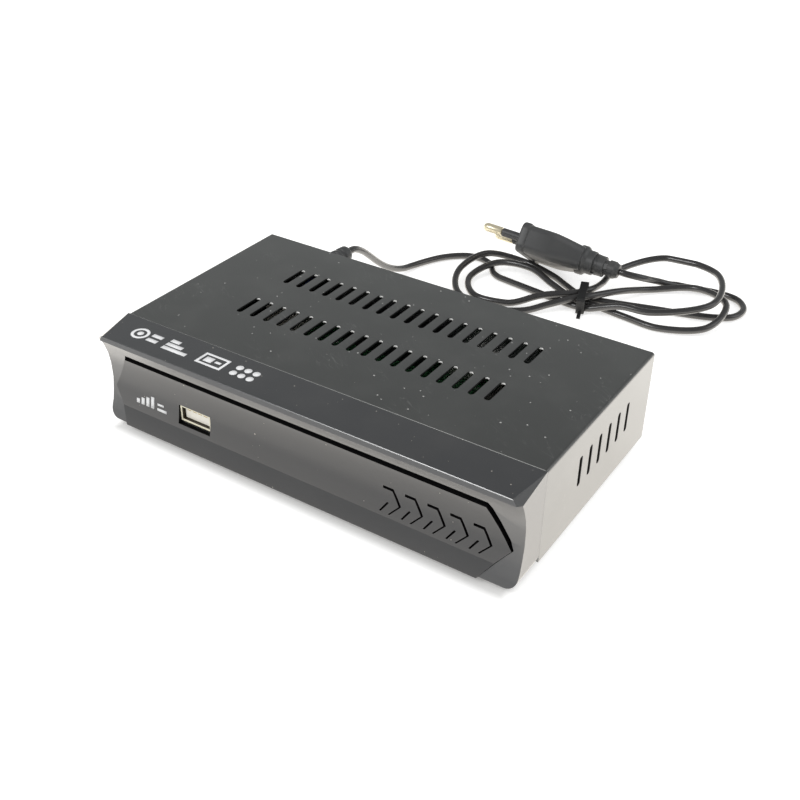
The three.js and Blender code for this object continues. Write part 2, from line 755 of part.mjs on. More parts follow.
function makeMainsParts(group) {
  const fuse = turned(rod(fuseRadius, -fuseLength / 2, fuseLength / 2), smallSides).rotateZ(-Math.PI / 2);
  const fuseZ = boardTop + rest + fuseLift + fuseRadius;
  fuse.translate(boardX(fusePlaceShares[0]), boardY(fusePlaceShares[1]), fuseZ);
  const clips = [-1, 1].map((side) => {
    const clip = boardBlock(fusePlaceShares, [fuseClip, 2 * fuseRadius, fuseLift + fuseRadius]);
    return clip.translate(side * (fuseLength - fuseClip) / 2, 0, 0);
  });
  group.add(meshOf("mains_fuse", join(fuse, ...clips), look(0xcfd2d0, 0.2, 0.3)));
  const choke = join(boardBlock(chokePlaceShares, chokeSize), boardBlock(chokePlaceShares, chokeCoil));
  group.add(meshOf("emi_choke", choke, look(0x3a3a3c, 0.6, 0)));
  const core = boardBlock(transformerPlaceShares, transformerSize);
  const coil = boardBlock(transformerPlaceShares, transformerCoil);
  group.add(meshOf("power_transformer", join(core, coil), look(0x4a4636, 0.6, 0)));
}

function makeTuner(group) {
  const can = box(tunerWidth, tunerDepth, tunerHeight);
  can.translate(tunerX, tunerBack - tunerDepth / 2, boardTop + rest + tunerHeight / 2);
  group.add(meshOf("tuner_can", can, nickel()));
  const start = tunerBack + rest;
  const bore = connectorTip - rfBoreDepth;
  const neck = start + rfCollarLength;
  const bodyStart = [
    [0, start], [rfCollar, start], [rfCollar, neck], [rfRadius, neck], [rfRadius, connectorTip],
  ];
  const socket = [...bodyStart, [rfHole, connectorTip], [rfHole, bore], [0, bore]];
  const pinEnd = connectorTip - rfPinRadius;
  const plug = [
    ...bodyStart, [rfBore, connectorTip], [rfBore, bore], [rfPinRadius, bore],
    [rfPinRadius, pinEnd - rfPinRadius], [rfPinRadius / 2, pinEnd], [0, pinEnd],
  ];
  const z = boardTop + tunerHeight / 2;
  const makeSide = (profile, side) => (
    turned(profile, roundSides).translate(tunerX + side * rfSpacing / 2, 0, z)
  );
  group.add(meshOf("rf_in_connector", makeSide(socket, 1), nickel()));
  group.add(meshOf("rf_out_connector", makeSide(plug, -1), nickel()));
}

function makeHdmi(group) {
  const z = boardTop + rest + hdmiHeight / 2;
  const shape = (wall) => {
    const u = hdmiWidth / 2 - wall;
    const v = hdmiHeight / 2 - wall;
    return outline([
      [hdmiX - u + hdmiChamfer, z - v], [hdmiX + u - hdmiChamfer, z - v], [hdmiX + u, z - v + hdmiChamfer],
      [hdmiX + u, z + v], [hdmiX - u, z + v], [hdmiX - u, z - v + hdmiChamfer],
    ]);
  };
  const mouth = coverDepth - fit;
  const shell = socketShell(shape, shellWall, mouth - hdmiDepth, mouth, false);
  group.add(meshOf("hdmi_shell", shell, nickel()));
  const back = mouth - hdmiDepth + shellWall + fit;
  const width = hdmiTongueWidth / 2;
  const thick = hdmiTongueThickness / 2;
  const inner = hdmiHeight / 2 - shellWall - fit;
  const tongue = join(
    slab(hdmiX - width, hdmiX + width, back, back + hdmiTongueLength, z - thick, z + thick),
    slab(hdmiX - width, hdmiX + width, back, back + hdmiTongueThickness, z - inner, z + inner),
  );
  group.add(meshOf("hdmi_tongue", tongue, chipBlack()));
}

function makeJacks(group) {
  const half = jackPitch + jackHousingMargin;
  const back = wallFront - fit;
  const top = boardTop + rest + jackHousingHeight;
  const z = boardTop + jackHousingHeight / 2;
  const front = back - jackHousingDepth;
  let housing = solidOf(slab(jackX - half, jackX + half, front, back, boardTop + rest, top));
  const colors = [["video", 0xd9b21f], ["left", 0xe8e8e4], ["right", 0xb5202a]];
  colors.forEach(([channel, color], i) => {
    const x = jackX + (i - 1) * jackPitch;
    const seat = back - barrelRadius;
    const well = turned(rod(barrelRadius + fit, seat, back + overrun), roundSides);
    housing = housing.subtract(solidOf(well.translate(x, 0, z)));
    const barrel = turned([
      [0, seat + rest], [barrelRadius, seat + rest], [barrelRadius, connectorTip],
      [barrelBore, connectorTip], [barrelBore, connectorTip - barrelBoreDepth],
      [0, connectorTip - barrelBoreDepth],
    ], roundSides);
    group.add(meshOf(`rca_barrel_${channel}`, barrel.translate(x, 0, z), nickel()));
    const collarStart = wallBack + rest;
    const collarEnd = collarStart + collarThickness;
    const collarBore = barrelRadius + fit;
    const collar = turned([
      [collarBore, collarStart], [collarRadius, collarStart], [collarRadius, collarEnd],
      [collarBore, collarEnd], [collarBore, collarStart],
    ], roundSides);
    group.add(meshOf(`rca_collar_${channel}`, collar.translate(x, 0, z), look(color, 0.4, 0)));
  });
  group.add(meshOf("av_jack_housing", housing, chipBlack()));
}

// Infrared receiver and lamp on legs, level with the groove
function makeFrontLights(group) {
  const z = plateTop + grooveHeight / 2;
  const [width, depth, height] = receiverSize;
  const backY = boardFront + legWidth + rest;
  const leg = (x) => slab(x - legWidth / 2, x + legWidth / 2, boardFront + rest, backY, boardTop + rest, z);
  const body = box(width, depth, height).translate(receiverX, backY - depth / 2, z);
  const receiver = join(body, ...[-1, 0, 1].map((i) => leg(receiverX + i * legWidth * 2)));
  group.add(meshOf("ir_receiver", receiver, look(0x120f14, 0.2, 0)));
  const bulb = turned([
    [0, -lampLength], [lampRadius / 2, -lampLength], [lampRadius, lampRadius - lampLength],
    [lampRadius, 0], [0, 0],
  ], smallSides);
  const lamp = join(bulb.translate(lampX, backY, z), ...[-1, 1].map((i) => leg(lampX + i * legWidth)));
  group.add(meshOf("status_led", lamp, look(0xd8dcd8, 0.15, 0)));
}

function makeStrainRelief(group) {
  const start = wallFront - rest - strainFlangeThickness;
  const outside = wallBack + rest;
  const profile = [
    [0, start], [strainFlange, start], [strainFlange, wallFront - rest], [strainNeck, wallFront - rest],
    [strainNeck, outside], [strainFlange, outside], [strainFlange, outside + strainFlangeThickness],
    [strainNeck, outside + strainFlangeThickness],
  ];
  const length = strainLength - strainFlangeThickness;
  const ribStep = length / (strainRibs + 1);
  const radiusAt = (share) => strainNeck + share * (strainTip - strainNeck);
  for (let i = 0; i < strainRibs; i += 1) {
    const y = outside + strainFlangeThickness + (i + 1 / 2) * ribStep;
    const radius = radiusAt((i + 1 / 2) / (strainRibs + 1));
    const ribEnd = y + ribStep / 2;
    profile.push([radius, y], [radius - strainRibDepth, y + strainRibDepth / 2]);
    profile.push([radius - strainRibDepth, ribEnd - strainRibDepth / 2]);
    profile.push([radiusAt((i + 1) / (strainRibs + 1)), ribEnd]);
  }
  profile.push([strainTip, outside + strainLength], [0, outside + strainLength]);
  const bushing = turned(profile, roundSides).translate(strainX, 0, strainZ);
  group.add(meshOf("cord_bushing", bushing, blackRubber()));
  const [, depth, height] = blockSizes.mains_connector;
  const target = [boardX(blockPlaceShares.mains_connector[0]), boardY(blockPlaceShares.mains_connector[1])];
  const top = boardTop + rest + height + fit;
  const wireTable = [["mains_wire_live", -1, 0x6b4226], ["mains_wire_neutral", 1, 0x2a5fa8]];
  for (const [name, side, color] of wireTable) {
    const x0 = strainX + side * wireSpacing / 2;
    const x1 = target[0] + side * wireSpacing / 2;
    const path = new THREE.CatmullRomCurve3([
      new THREE.Vector3(x0, start - fit, strainZ),
      new THREE.Vector3(x0, start - fit - wireSpacing / 2, strainZ),
      new THREE.Vector3((x0 + x1) / 2, target[1] + depth / 2, (strainZ + top) / 2 + wireRadius),
      new THREE.Vector3(x1, target[1], top + wireRadius * 2),
      new THREE.Vector3(x1, target[1], top),
    ], false, "centripetal");
    group.add(meshOf(name, tube(path, wireRadius, cordSides, wireSteps), look(color, 0.5, 0)));
  }
}

// A round tube along a curve, closed at both ends
function tube(path, radius, sides, steps) {
  const ring = new THREE.Shape();
  for (let i = 0; i < sides; i += 1) {
    const angle = (i + 1 / 2) * 2 * Math.PI / sides;
    const point = [radius * Math.cos(angle), radius * Math.sin(angle)];
    if (i === 0) ring.moveTo(...point);
    else ring.lineTo(...point);
  }
  return new THREE.ExtrudeGeometry(ring, { steps, extrudePath: path, bevelEnabled: false });
}

// A place along and across the hank as a point of the part
function hankPoint(along, across, height) {
  const cos = Math.cos(hankTurn);
  const sin = Math.sin(hankTurn);
  return new THREE.Vector3(hankX + along * cos - across * sin, hankY + along * sin + across * cos, height);
}

const passPoint = (pass, along) => [
  along, pass.column * columnPitch + along * pass.slant, rowHeight(pass.row),
];

// Where a straight line from a place touches a pin, on the side that the turn needs
function touchPoint(from, pin, radius, turn) {
  const dx = pin[0] - from[0];
  const dy = pin[1] - from[1];
  const distance = Math.hypot(dx, dy);
  const angle = Math.atan2(dy, dx) - turn * Math.asin(radius / distance);
  const reach = Math.sqrt(distance * distance - radius * radius);
  return [from[0] + reach * Math.cos(angle), from[1] + reach * Math.sin(angle)];
}

function hankRoute() {
  const route = [];
  const add = ([along, across, height]) => route.push(hankPoint(along, across, height));
  const level = (rows) => cordFloor + rows * rowPitch;
  // An end of the winding, straight for one diameter, with the point nearer to the winding
  const addStraight = (end, near, height) => {
    const share = 2 * cordRadius / Math.hypot(near[0] - end[0], near[1] - end[1]);
    const inner = [end[0] + (near[0] - end[0]) * share, end[1] + (near[1] - end[1]) * share, height];
    const pair = [[end[0], end[1], height], inner];
    (route.length ? pair.reverse() : pair).forEach(add);
  };
  addStraight(leadJoin, passPoint(passes[0], -waistReach), cordFloor);
  passes.forEach((pass, i) => {
    const side = i % 2 ? -1 : 1;
    add(passPoint(pass, -side * waistReach));
    add(passPoint(pass, 0));
    const start = passPoint(pass, side * waistReach);
    add(start);
    const { pin, radius, levels } = halfLoops[i];
    const next = passes[i + 1];
    const end = next ? passPoint(next, side * waistReach) : tailJoin;
    const first = touchPoint(start, pin, radius, side);
    const last = touchPoint(end, pin, radius, -side);
    add([(start[0] + first[0]) / 2, (start[1] + first[1]) / 2, level(levels[0])]);
    const from = Math.atan2(first[1] - pin[1], first[0] - pin[0]);
    let to = Math.atan2(last[1] - pin[1], last[0] - pin[0]);
    while (side * (to - from) <= 0) to += side * 2 * Math.PI;
    const bends = levels.length - 3;
    for (let k = 0; k <= bends; k += 1) {
      const angle = from + (to - from) * k / bends;
      add([pin[0] + radius * Math.cos(angle), pin[1] + radius * Math.sin(angle), level(levels[k + 1])]);
    }
    if (next) add([(last[0] + end[0]) / 2, (last[1] + end[1]) / 2, level(levels.at(-1))]);
    else addStraight(end, last, level(levels.at(-1)));
  });
  return route;
}

// The least gap of a cord to itself, measured on points along it
function leastGap(curve, length) {
  const points = curve.getSpacedPoints(Math.round(length / cordRadius));
  const apart = Math.round(neighbourRadii * cordRadius * points.length / length);
  let least = Infinity;
  let place = 0;
  points.forEach((a, i) => {
    for (let j = i + apart; j < points.length; j += 1) {
      const distance = a.distanceTo(points[j]);
      if (distance < least) [least, place] = [distance, [i / points.length, j / points.length]];
    }
  });
  return [least - 2 * cordRadius, place];
}

function makePlug(group) {
  const plug = new THREE.Group();
  plug.position.set(plugX, plugY, plugZ);
  plug.rotation.set(plugRoll, plugPitch, plugYaw, "ZYX");
  const rim = (along, width, thickness) => {
    const radius = thickness * plugCornerShare;
    const points = [];
    for (const [side, up] of [[1, 1], [-1, 1], [-1, -1], [1, -1]]) {
      for (let i = 0; i <= plugCornerSteps; i += 1) {
        const angle = i / plugCornerSteps * Math.PI / 2;
        const y = width / 2 - radius + radius * Math.cos(angle);
        const z = thickness / 2 - radius + radius * Math.sin(angle);
        points.push(new THREE.Vector3(along, side * y, up * z));
      }
    }
    return points;
  };
  let body = solidOf(new ConvexGeometry([
    ...rim(0, plugWidth - plugEdge * 2, plugThickness - plugEdge * 2),
    ...rim(plugEdge, plugWidth, plugThickness),
    ...rim(plugShoulder, plugShoulderWidth, plugThickness),
    ...rim(plugLength, plugWaist, plugWaistThickness),
  ]));
  const turnedAlong = (profile, sides) => turned(profile, sides).rotateZ(-Math.PI / 2);
  const reliefEnd = plugLength + plugReliefLength;
  const profile = [
    [0, plugLength - plugRib], [plugRibRadius, plugLength - plugRib],
    [plugRibRadius, plugLength + plugRib / 2], [plugReliefRadius, plugLength + plugRib],
  ];
  const step = (plugReliefLength - plugRib) / plugReliefRings;
  for (let i = 0; i < plugReliefRings; i += 1) {
    const share = i / plugReliefRings;
    const radius = plugReliefRadius + (plugReliefTip - plugReliefRadius) * share;
    const y = plugLength + plugRib + i * step;
    if (i) profile.push([radius, y]);
    profile.push([radius, y + step * 2 / 3], [radius - plugReliefGroove, y + step * 2 / 3]);
    profile.push([radius - plugReliefGroove, y + step]);
  }
  profile.pop();
  profile.pop();
  profile.push([plugReliefTip, reliefEnd], [0, reliefEnd]);
  body = body.add(solidOf(turnedAlong(profile, plugSides)));
  for (const side of [-1, 1]) {
    const y = side * pinSpacing / 2;
    const sleeve = turnedAlong(rod(pinSleeveRadius, -pinSleeve, plugRib), plugSides);
    body = body.add(solidOf(sleeve.translate(0, y, 0)));
  }
  for (const side of [-1, 1]) {
    const y = side * pinSpacing / 2;
    const bore = turnedAlong(rod(pinBoreRadius, -pinSleeve - overrun, pinCoreDepth + fit), smallSides);
    body = body.subtract(solidOf(bore.translate(0, y, 0)));
    const tip = -pinSleeve - fit - pinTip;
    const pin = turnedAlong([
      [0, tip], [pinRadius / 2, tip], [pinRadius, tip + pinRadius], [pinRadius, -pinSleeve - fit],
      [pinCoreRadius, -pinSleeve - fit], [pinCoreRadius, pinCoreDepth], [0, pinCoreDepth],
    ], smallSides);
    plug.add(meshOf(side < 0 ? "plug_pin_1" : "plug_pin_2", pin.translate(0, y, 0), brass()));
  }
  plug.add(meshOf("plug_body", body, blackRubber()));
  group.add(plug);
  plug.updateMatrixWorld(true);
  const cordStart = reliefEnd + fit;
  return [cordStart, cordStart + 2 * cordRadius].map((x) => plug.localToWorld(new THREE.Vector3(x, 0, 0)));
}

function makeTie(group) {
  const widest = passes.map(({ column, slant }) => (
    Math.abs(column) * columnPitch + Math.abs(slant) * tieWidth / 2 + cordRadius * Math.hypot(1, slant)
  ));
  const half = Math.max(...widest) + fit;
  const bottom = tieThickness;
  const top = rowHeight(1) + cordRadius + fit;
  const ring = (grow) => {
    const shape = new THREE.Shape();
    const radius = cordRadius + grow;
    const u = half + grow;
    shape.absarc(u - radius, top + grow - radius, radius, 0, Math.PI / 2, false);
    shape.absarc(radius - u, top + grow - radius, radius, Math.PI / 2, Math.PI, false);
    shape.absarc(radius - u, bottom - grow + radius, radius, Math.PI, 1.5 * Math.PI, false);
    shape.absarc(u - radius, bottom - grow + radius, radius, 1.5 * Math.PI, 2 * Math.PI, false);
    return shape;
  };
  const shape = ring(tieThickness);
  shape.holes.push(ring(0));
  const band = drawnUp(shape, tieWidth).translate(0, rest, -tieWidth / 2);
  const stub = box(tieStub, tieThickness, tieStubWidth).translate(-half - tieStub / 2, cordFloor, 0);
  const basis = new THREE.Matrix4().makeBasis(
    new THREE.Vector3(0, 1, 0),
    new THREE.Vector3(0, 0, 1),
    new THREE.Vector3(1, 0, 0),
  );
  const tie = meshOf("cord_tie", geometryOf(join(band, stub).transform(basis.elements)), blackPlastic());
  tie.position.set(hankX, hankY, 0);
  tie.rotation.z = hankTurn;
  group.add(tie);
}

function makeCord(group) {
  const vector = (point) => new THREE.Vector3(...point);
  const exitY = seamY + wallBack + rest + strainLength + fit;
  const exitZ = footDrop + strainZ;
  const stub = 2 * cordRadius;
  const hank = hankRoute();
  const leadWay = hank[0].clone().sub(hank[1]).normalize();
  const leadEnd = hank[0].clone().addScaledVector(leadWay, fit);
  const lead = new THREE.CatmullRomCurve3([
    vector([strainX, exitY, exitZ]), vector([strainX, exitY + stub / 2, exitZ]), ...leadPoints.map(vector),
    leadEnd.clone().addScaledVector(leadWay, stub), leadEnd,
  ], false, "centripetal");
  group.add(meshOf("cord_lead", tube(lead, cordRadius, cordSides, leadSteps), blackRubber()));

  const winding = new THREE.CatmullRomCurve3(hank, false, "centripetal");
  winding.arcLengthDivisions = lengthDivisions;
  const steps = Math.round(stepsPerLoop * halfLoops.length / 2);
  group.add(meshOf("cord_hank", tube(winding, cordRadius, hankSides, steps), blackRubber()));

  const plugEnds = makePlug(group);
  const tailWay = hank.at(-1).clone().sub(hank.at(-2)).normalize();
  const tailStart = hank.at(-1).clone().addScaledVector(tailWay, fit);
  const tail = new THREE.CatmullRomCurve3([
    tailStart, tailStart.clone().addScaledVector(tailWay, stub / 2),
    ...tailPoints.map((point) => hankPoint(...point)), plugEnds[1], plugEnds[0],
  ], false, "centripetal");
  group.add(meshOf("cord_tail", tube(tail, cordRadius, cordSides, tailSteps), blackRubber()));
  makeTie(group);

  const [gap, place] = leastGap(winding, winding.getLength());
  const whole = [lead, winding, tail].reduce((sum, curve) => sum + curve.getLength(), 0);
  console.log(`hank: least gap to itself ${gap.toFixed(2)} mm at ${place.map((s) => s.toFixed(3))}`);
  console.log(`lead: whole length ${whole.toFixed(0)} mm`);
}

const receiver = new THREE.Group();
const caseGroup = new THREE.Group();
caseGroup.position.set(0, seamY, footDrop);
receiver.add(caseGroup);
caseGroup.add(makeCover());
makeFront(caseGroup);
makeUsb(caseGroup);
makeChassis(caseGroup);
makeFixings(caseGroup);
makeBoard(caseGroup);
makeTuner(caseGroup);
makeHdmi(caseGroup);
makeJacks(caseGroup);
makeFrontLights(caseGroup);
makeStrainRelief(caseGroup);
makeCord(receiver);

export default receiver;
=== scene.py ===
# %% [markdown]
# # A small TV receiver with its mains lead
# A black set-top box. A bent steel cover with rows of slots sits behind a concave moulded front, which
# carries a long six-sided plate. Sockets fill the rear wall, and the mains lead is wound into a tied hank.
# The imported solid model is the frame: every piece is made in that frame, in metres, where its solid is.

# %% Load the frame
import math

import bmesh
import bpy
from mathutils import Matrix, Vector


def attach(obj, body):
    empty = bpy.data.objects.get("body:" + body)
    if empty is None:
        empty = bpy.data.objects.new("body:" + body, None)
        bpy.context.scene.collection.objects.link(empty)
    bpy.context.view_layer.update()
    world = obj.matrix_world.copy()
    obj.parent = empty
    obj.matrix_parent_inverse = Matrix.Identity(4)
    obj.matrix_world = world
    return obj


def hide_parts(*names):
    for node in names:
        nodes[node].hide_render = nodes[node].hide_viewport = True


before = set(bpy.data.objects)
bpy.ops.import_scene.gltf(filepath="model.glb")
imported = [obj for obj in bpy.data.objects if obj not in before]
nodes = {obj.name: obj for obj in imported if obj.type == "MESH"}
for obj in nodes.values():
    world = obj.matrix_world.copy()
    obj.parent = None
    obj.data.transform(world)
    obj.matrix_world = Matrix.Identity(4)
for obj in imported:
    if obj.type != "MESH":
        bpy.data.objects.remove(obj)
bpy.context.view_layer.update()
MM = 0.001

# %% [markdown]
# ## Camera
# A photograph fixes four things: where the camera stands, how far it is turned, how far it leans to one
# side, and how wide it sees. The camera's own axes are built from the first two angles and then rolled, so
# its matrix holds the whole pose and no constraint is needed.

# %% Camera
def scene_object(name, data):
    made = bpy.data.objects.new(name, data)
    bpy.context.collection.objects.link(made)
    return made


camera_turn = math.radians(32.6366)
camera_rise = math.radians(33.5123)
camera_roll = math.radians(0.9072)
camera_place = Vector((186.064, -276.5023, 233.3025)) * MM
back = Vector((
    math.sin(camera_turn) * math.cos(camera_rise),
    -math.cos(camera_turn) * math.cos(camera_rise),
    math.sin(camera_rise),
))
level = Vector((math.cos(camera_turn), math.sin(camera_turn), 0))
up = back.cross(level)
axis_x = level * math.cos(camera_roll) + up * math.sin(camera_roll)
axis_y = up * math.cos(camera_roll) - level * math.sin(camera_roll)
camera_data = bpy.data.cameras.new("camera")
camera_data.lens = 50.0666
camera_data.sensor_width = 36
camera_data.clip_start = 0.01
camera_data.clip_end = 20
camera = scene_object("camera", camera_data)
camera.matrix_world = Matrix.Translation(camera_place) @ Matrix((axis_x, axis_y, back)).transposed().to_4x4()
bpy.context.scene.camera = camera
print("camera distance in mm:", round(camera_place.length / MM))

# %% [markdown]
# ## Route of the mains lead
# The lead is one flexible cord 3 mm thick. It leaves a strain relief, hangs down to the floor, is wound
# through five half loops that a tie holds at their waist, and ends in the plug. Each half loop bends round
# a pin, as if the cord were wound on pegs, and its heights are counted in rows of cord above the floor. A
# simulated cord would never fall into exactly this hank, so the route is worked out from the pegs.

# %% Sizes of the lead and the hank
CORD_RADIUS = 1.5
LEAD_POINTS = [
    (-60, 70, 27.8), (-60.1, 76, 24.6), (-60.4, 82, 19.9), (-60.7, 88, 14.8), (-60.7, 94.5, 9.8),
    (-60.4, 101, 5.9), (-59.9, 108, 3.1), (-59, 115, 1.9), (-56.6, 122, 1.7), (-52.8, 129.5, 1.7),
    (-48.2, 135, 1.7), (-42.7, 138.8, 1.7), (-36.8, 139.6, 1.7), (-31, 137.6, 1.7),
    (-27.6, 133.7, 1.7), (-24.3, 129.7, 1.7),
]
HANK_PLACE = (21, 127)
HANK_TURN = math.radians(18.7)
COLUMN_PITCH, ROW_PITCH, WAIST_REACH = 4.6, 3.7, 3
CORD_FLOOR, ROW_FLOOR = 1.6, 2.3
PASSES = [(-1.1, 0, -0.15), (0.62, 1, 0.85), (0, 0, -0.22), (-0.62, 1, 0.55), (1.15, 0, -0.55)]
HALF_LOOPS = [
    ((34, 15), 25, (1.3, 1.35, 1.9, 2.25, 1.9, 1.2, 0.85)),
    ((-36, 6.5), 16, (0.95, 0, 0, 0.2, 0.95, 1.15, 0.6)),
    ((41, 4.8), 19.7, (0, 0, 0.4, 1.12, 0.6, 0.15, 0.9)),
    ((-34, 7.2), 23.7, (0.6, 0.05, 0, 0.1, 0.7, 1.35, 0.35, 0, 0.1)),
    ((57, 14), 11.5, (0, 0, 0, 0, 0, 0, 0)),
]
TAIL_POINTS = [(36, 26.9, 2.4), (31.5, 24.6, 4.2), (27.5, 20.6, 6.6), (23.9, 16.5, 9.0)]
LEAD_JOIN, TAIL_JOIN = (-36, 12.5), (41, 28.4)


# %% Places along the hank
def hank_point(along, across, height):
    cos, sin = math.cos(HANK_TURN), math.sin(HANK_TURN)
    return Vector((
        HANK_PLACE[0] + along * cos - across * sin, HANK_PLACE[1] + along * sin + across * cos, height,
    ))


def pass_point(number, along):
    column, row, slant = PASSES[number]
    return (along, column * COLUMN_PITCH + along * slant, ROW_FLOOR + ROW_PITCH * row)


def peg_touch(start, peg, radius, turn):
    dx, dy = peg[0] - start[0], peg[1] - start[1]
    distance = math.hypot(dx, dy)
    angle = math.atan2(dy, dx) - turn * math.asin(radius / distance)
    reach = math.sqrt(distance ** 2 - radius ** 2)
    return (start[0] + reach * math.cos(angle), start[1] + reach * math.sin(angle))


# %% Wind the hank round its pegs
def hank_route():
    route = []

    def rows(count):
        return CORD_FLOOR + count * ROW_PITCH

    def straight_end(end, near, height):
        share = 2 * CORD_RADIUS / math.hypot(near[0] - end[0], near[1] - end[1])
        inner = (end[0] + (near[0] - end[0]) * share, end[1] + (near[1] - end[1]) * share, height)
        pair = [(end[0], end[1], height), inner]
        route.extend(pair if not route else pair[::-1])

    straight_end(LEAD_JOIN, pass_point(0, -WAIST_REACH), CORD_FLOOR)
    for number, (peg, radius, levels) in enumerate(HALF_LOOPS):
        side = -1 if number % 2 else 1
        start = pass_point(number, side * WAIST_REACH)
        route += [pass_point(number, -side * WAIST_REACH), pass_point(number, 0), start]
        last_loop = number + 1 == len(PASSES)
        end = TAIL_JOIN if last_loop else pass_point(number + 1, side * WAIST_REACH)
        first, last = peg_touch(start, peg, radius, side), peg_touch(end, peg, radius, -side)
        route.append(((start[0] + first[0]) / 2, (start[1] + first[1]) / 2, rows(levels[0])))
        begin = math.atan2(first[1] - peg[1], first[0] - peg[0])
        stop = math.atan2(last[1] - peg[1], last[0] - peg[0])
        while side * (stop - begin) <= 0:
            stop += side * 2 * math.pi
        bends = len(levels) - 3
        for k in range(bends + 1):
            angle = begin + (stop - begin) * k / bends
            place = (peg[0] + radius * math.cos(angle), peg[1] + radius * math.sin(angle))
            route.append((*place, rows(levels[k + 1])))
        if last_loop:
            straight_end(end, last, rows(levels[-1]))
        else:
            route.append(((last[0] + end[0]) / 2, (last[1] + end[1]) / 2, rows(levels[-1])))
    return [hank_point(*point) for point in route]


hank = hank_route()
print("hank: points on the route:", len(hank))

# %% [markdown]
# ## Cord
# A smooth curve has to pass through every point of the route without swinging out between close ones. A
# centripetal Catmull-Rom curve does that. It is sampled every 1.2 mm into a single open spline, and the
# curve's own bevel gives the round section, so the centreline stays exact for the length check.

# %% Smooth line through points
def smooth_line(points, step=1.2):
    chain = [2 * points[0] - points[1], *points, 2 * points[-1] - points[-2]]
    line = []
    for i in range(len(points) - 1):
        p0, p1, p2, p3 = chain[i:i + 4]
        t0, t1, t2 = (max((b - a).length, 1e-4) ** 0.5 for a, b in ((p0, p1), (p1, p2), (p2, p3)))
        way_out = ((p1 - p0) / t0 - (p2 - p0) / (t0 + t1) + (p2 - p1) / t1) * t1
        way_in = ((p2 - p1) / t1 - (p3 - p1) / (t1 + t2) + (p3 - p2) / t2) * t1
        count = max(1, round((p2 - p1).length / step))
        for k in range(count):
            s = k / count
            line.append(
                p1 * (2 * s ** 3 - 3 * s ** 2 + 1) + way_out * (s ** 3 - 2 * s ** 2 + s)
                + p2 * (3 * s ** 2 - 2 * s ** 3) + way_in * (s ** 3 - s ** 2)
            )
    return line + [points[-1]]


# %% Where the plug lies, and the whole route
REAR_LIMIT, FLOOR_LIMIT, JOIN_GAP = 175.7, 1.55, 0.3
PLUG_FRAME = (
    Matrix.Translation((-14.9, 143.3, 14.5)) @ Matrix.Rotation(math.radians(4), 4, "Z")
    @ Matrix.Rotation(math.radians(4.65), 4, "Y") @ Matrix.Rotation(math.radians(-34.2), 4, "X")
)
lead_way = (hank[0] - hank[1]).normalized()
lead_end = hank[0] + lead_way * JOIN_GAP
lead = smooth_line([
    Vector((-60, 64.8, 28.2)), Vector((-60, 66.3, 28.2)), *map(Vector, LEAD_POINTS),
    lead_end + lead_way * 3, lead_end,
])
tail_way = (hank[-1] - hank[-2]).normalized()
tail_start = hank[-1] + tail_way * JOIN_GAP
tail = smooth_line([
    tail_start, tail_start + tail_way * 1.5, *(hank_point(*point) for point in TAIL_POINTS),
    PLUG_FRAME @ Vector((47.3, 0, 0)), PLUG_FRAME @ Vector((44.3, 0, 0)),
])
cord_line = [
    Vector((point.x, min(point.y, REAR_LIMIT), max(point.z, FLOOR_LIMIT)))
    for point in lead + smooth_line(hank) + tail]

# %% Cord as one round curve
cord_data = bpy.data.curves.new("mains_cord", "CURVE")
cord_data.dimensions = "3D"
cord_spline = cord_data.splines.new("POLY")
cord_spline.points.add(len(cord_line) - 1)
for point, place in zip(cord_spline.points, cord_line):
    point.co = (*(place * MM), 1)
cord_spline.use_smooth = True
cord_data.bevel_depth = CORD_RADIUS * MM
cord_data.bevel_resolution = 6
cord_data.use_fill_caps = True
mains_cord = scene_object("mains_cord", cord_data)

# %% [markdown]
# ## Light
# The box was photographed on a white sweep under soft light. A large soft lamp stands over the front left,
# a weaker one over the right, and the world fills the shadows. What is seen in gloss matters more than
# what is lit here, because the box is black. White paper lies below and round it, and the room above is
# greyer, so the top looks darker than the side that mirrors the floor. For the camera the paper also glows
# a little, so that it stays white, but less in a thin band round the foot of the box, where the real box
# shades it. Gloss sees the paper slightly warm, and darker in front of the box.

# %% Soft lamps
LAMP_TARGET = Vector((0, 0.05, 0))


def soft_lamp(name, place, size, power):
    data = bpy.data.lights.new(name, "AREA")
    data.shape = "DISK"
    data.size = size
    data.energy = power
    lamp = scene_object(name, data)
    lamp.location = place
    lamp.rotation_euler = (LAMP_TARGET - Vector(place)).to_track_quat("-Z", "Y").to_euler()


soft_lamp("key_lamp", (-0.38, -0.80, 0.88), 0.44, 4.2)
soft_lamp("fill_lamp", (0.9, 0.5, 0.8), 0.8, 1.5)
print("lamps:", [lamp.name for lamp in bpy.data.lights])


# %% Node helpers
def add(tree, kind, inputs=None, **settings):
    made = tree.nodes.new(kind)
    for key, value in settings.items():
        setattr(made, key, value)
    for key, value in (inputs or {}).items():
        if isinstance(value, bpy.types.NodeSocket):
            tree.links.new(value, made.inputs[key])
        else:
            made.inputs[key].default_value = value
    return made


def out_of(tree, kind, inputs=None, output=0, **settings):
    return add(tree, kind, inputs, **settings).outputs[output]


def math_of(tree, operation, *values, clamp=False):
    return out_of(tree, "ShaderNodeMath", dict(enumerate(values)), operation=operation, use_clamp=clamp)


def times(tree, first, second, clamp=False):
    return math_of(tree, "MULTIPLY", first, second, clamp=clamp)


def between(tree, value, low, high, out_low=0.0, out_high=1.0):
    return out_of(tree, "ShaderNodeMapRange", {
        "Value": value, "From Min": low, "From Max": high, "To Min": out_low, "To Max": out_high})


def mixed(tree, share, first, second):
    return out_of(tree, "ShaderNodeMix", {0: share, 6: first, 7: second}, 2, data_type="RGBA")


def axes_of(tree, vector):
    return add(tree, "ShaderNodeSeparateXYZ", {"Vector": vector}).outputs


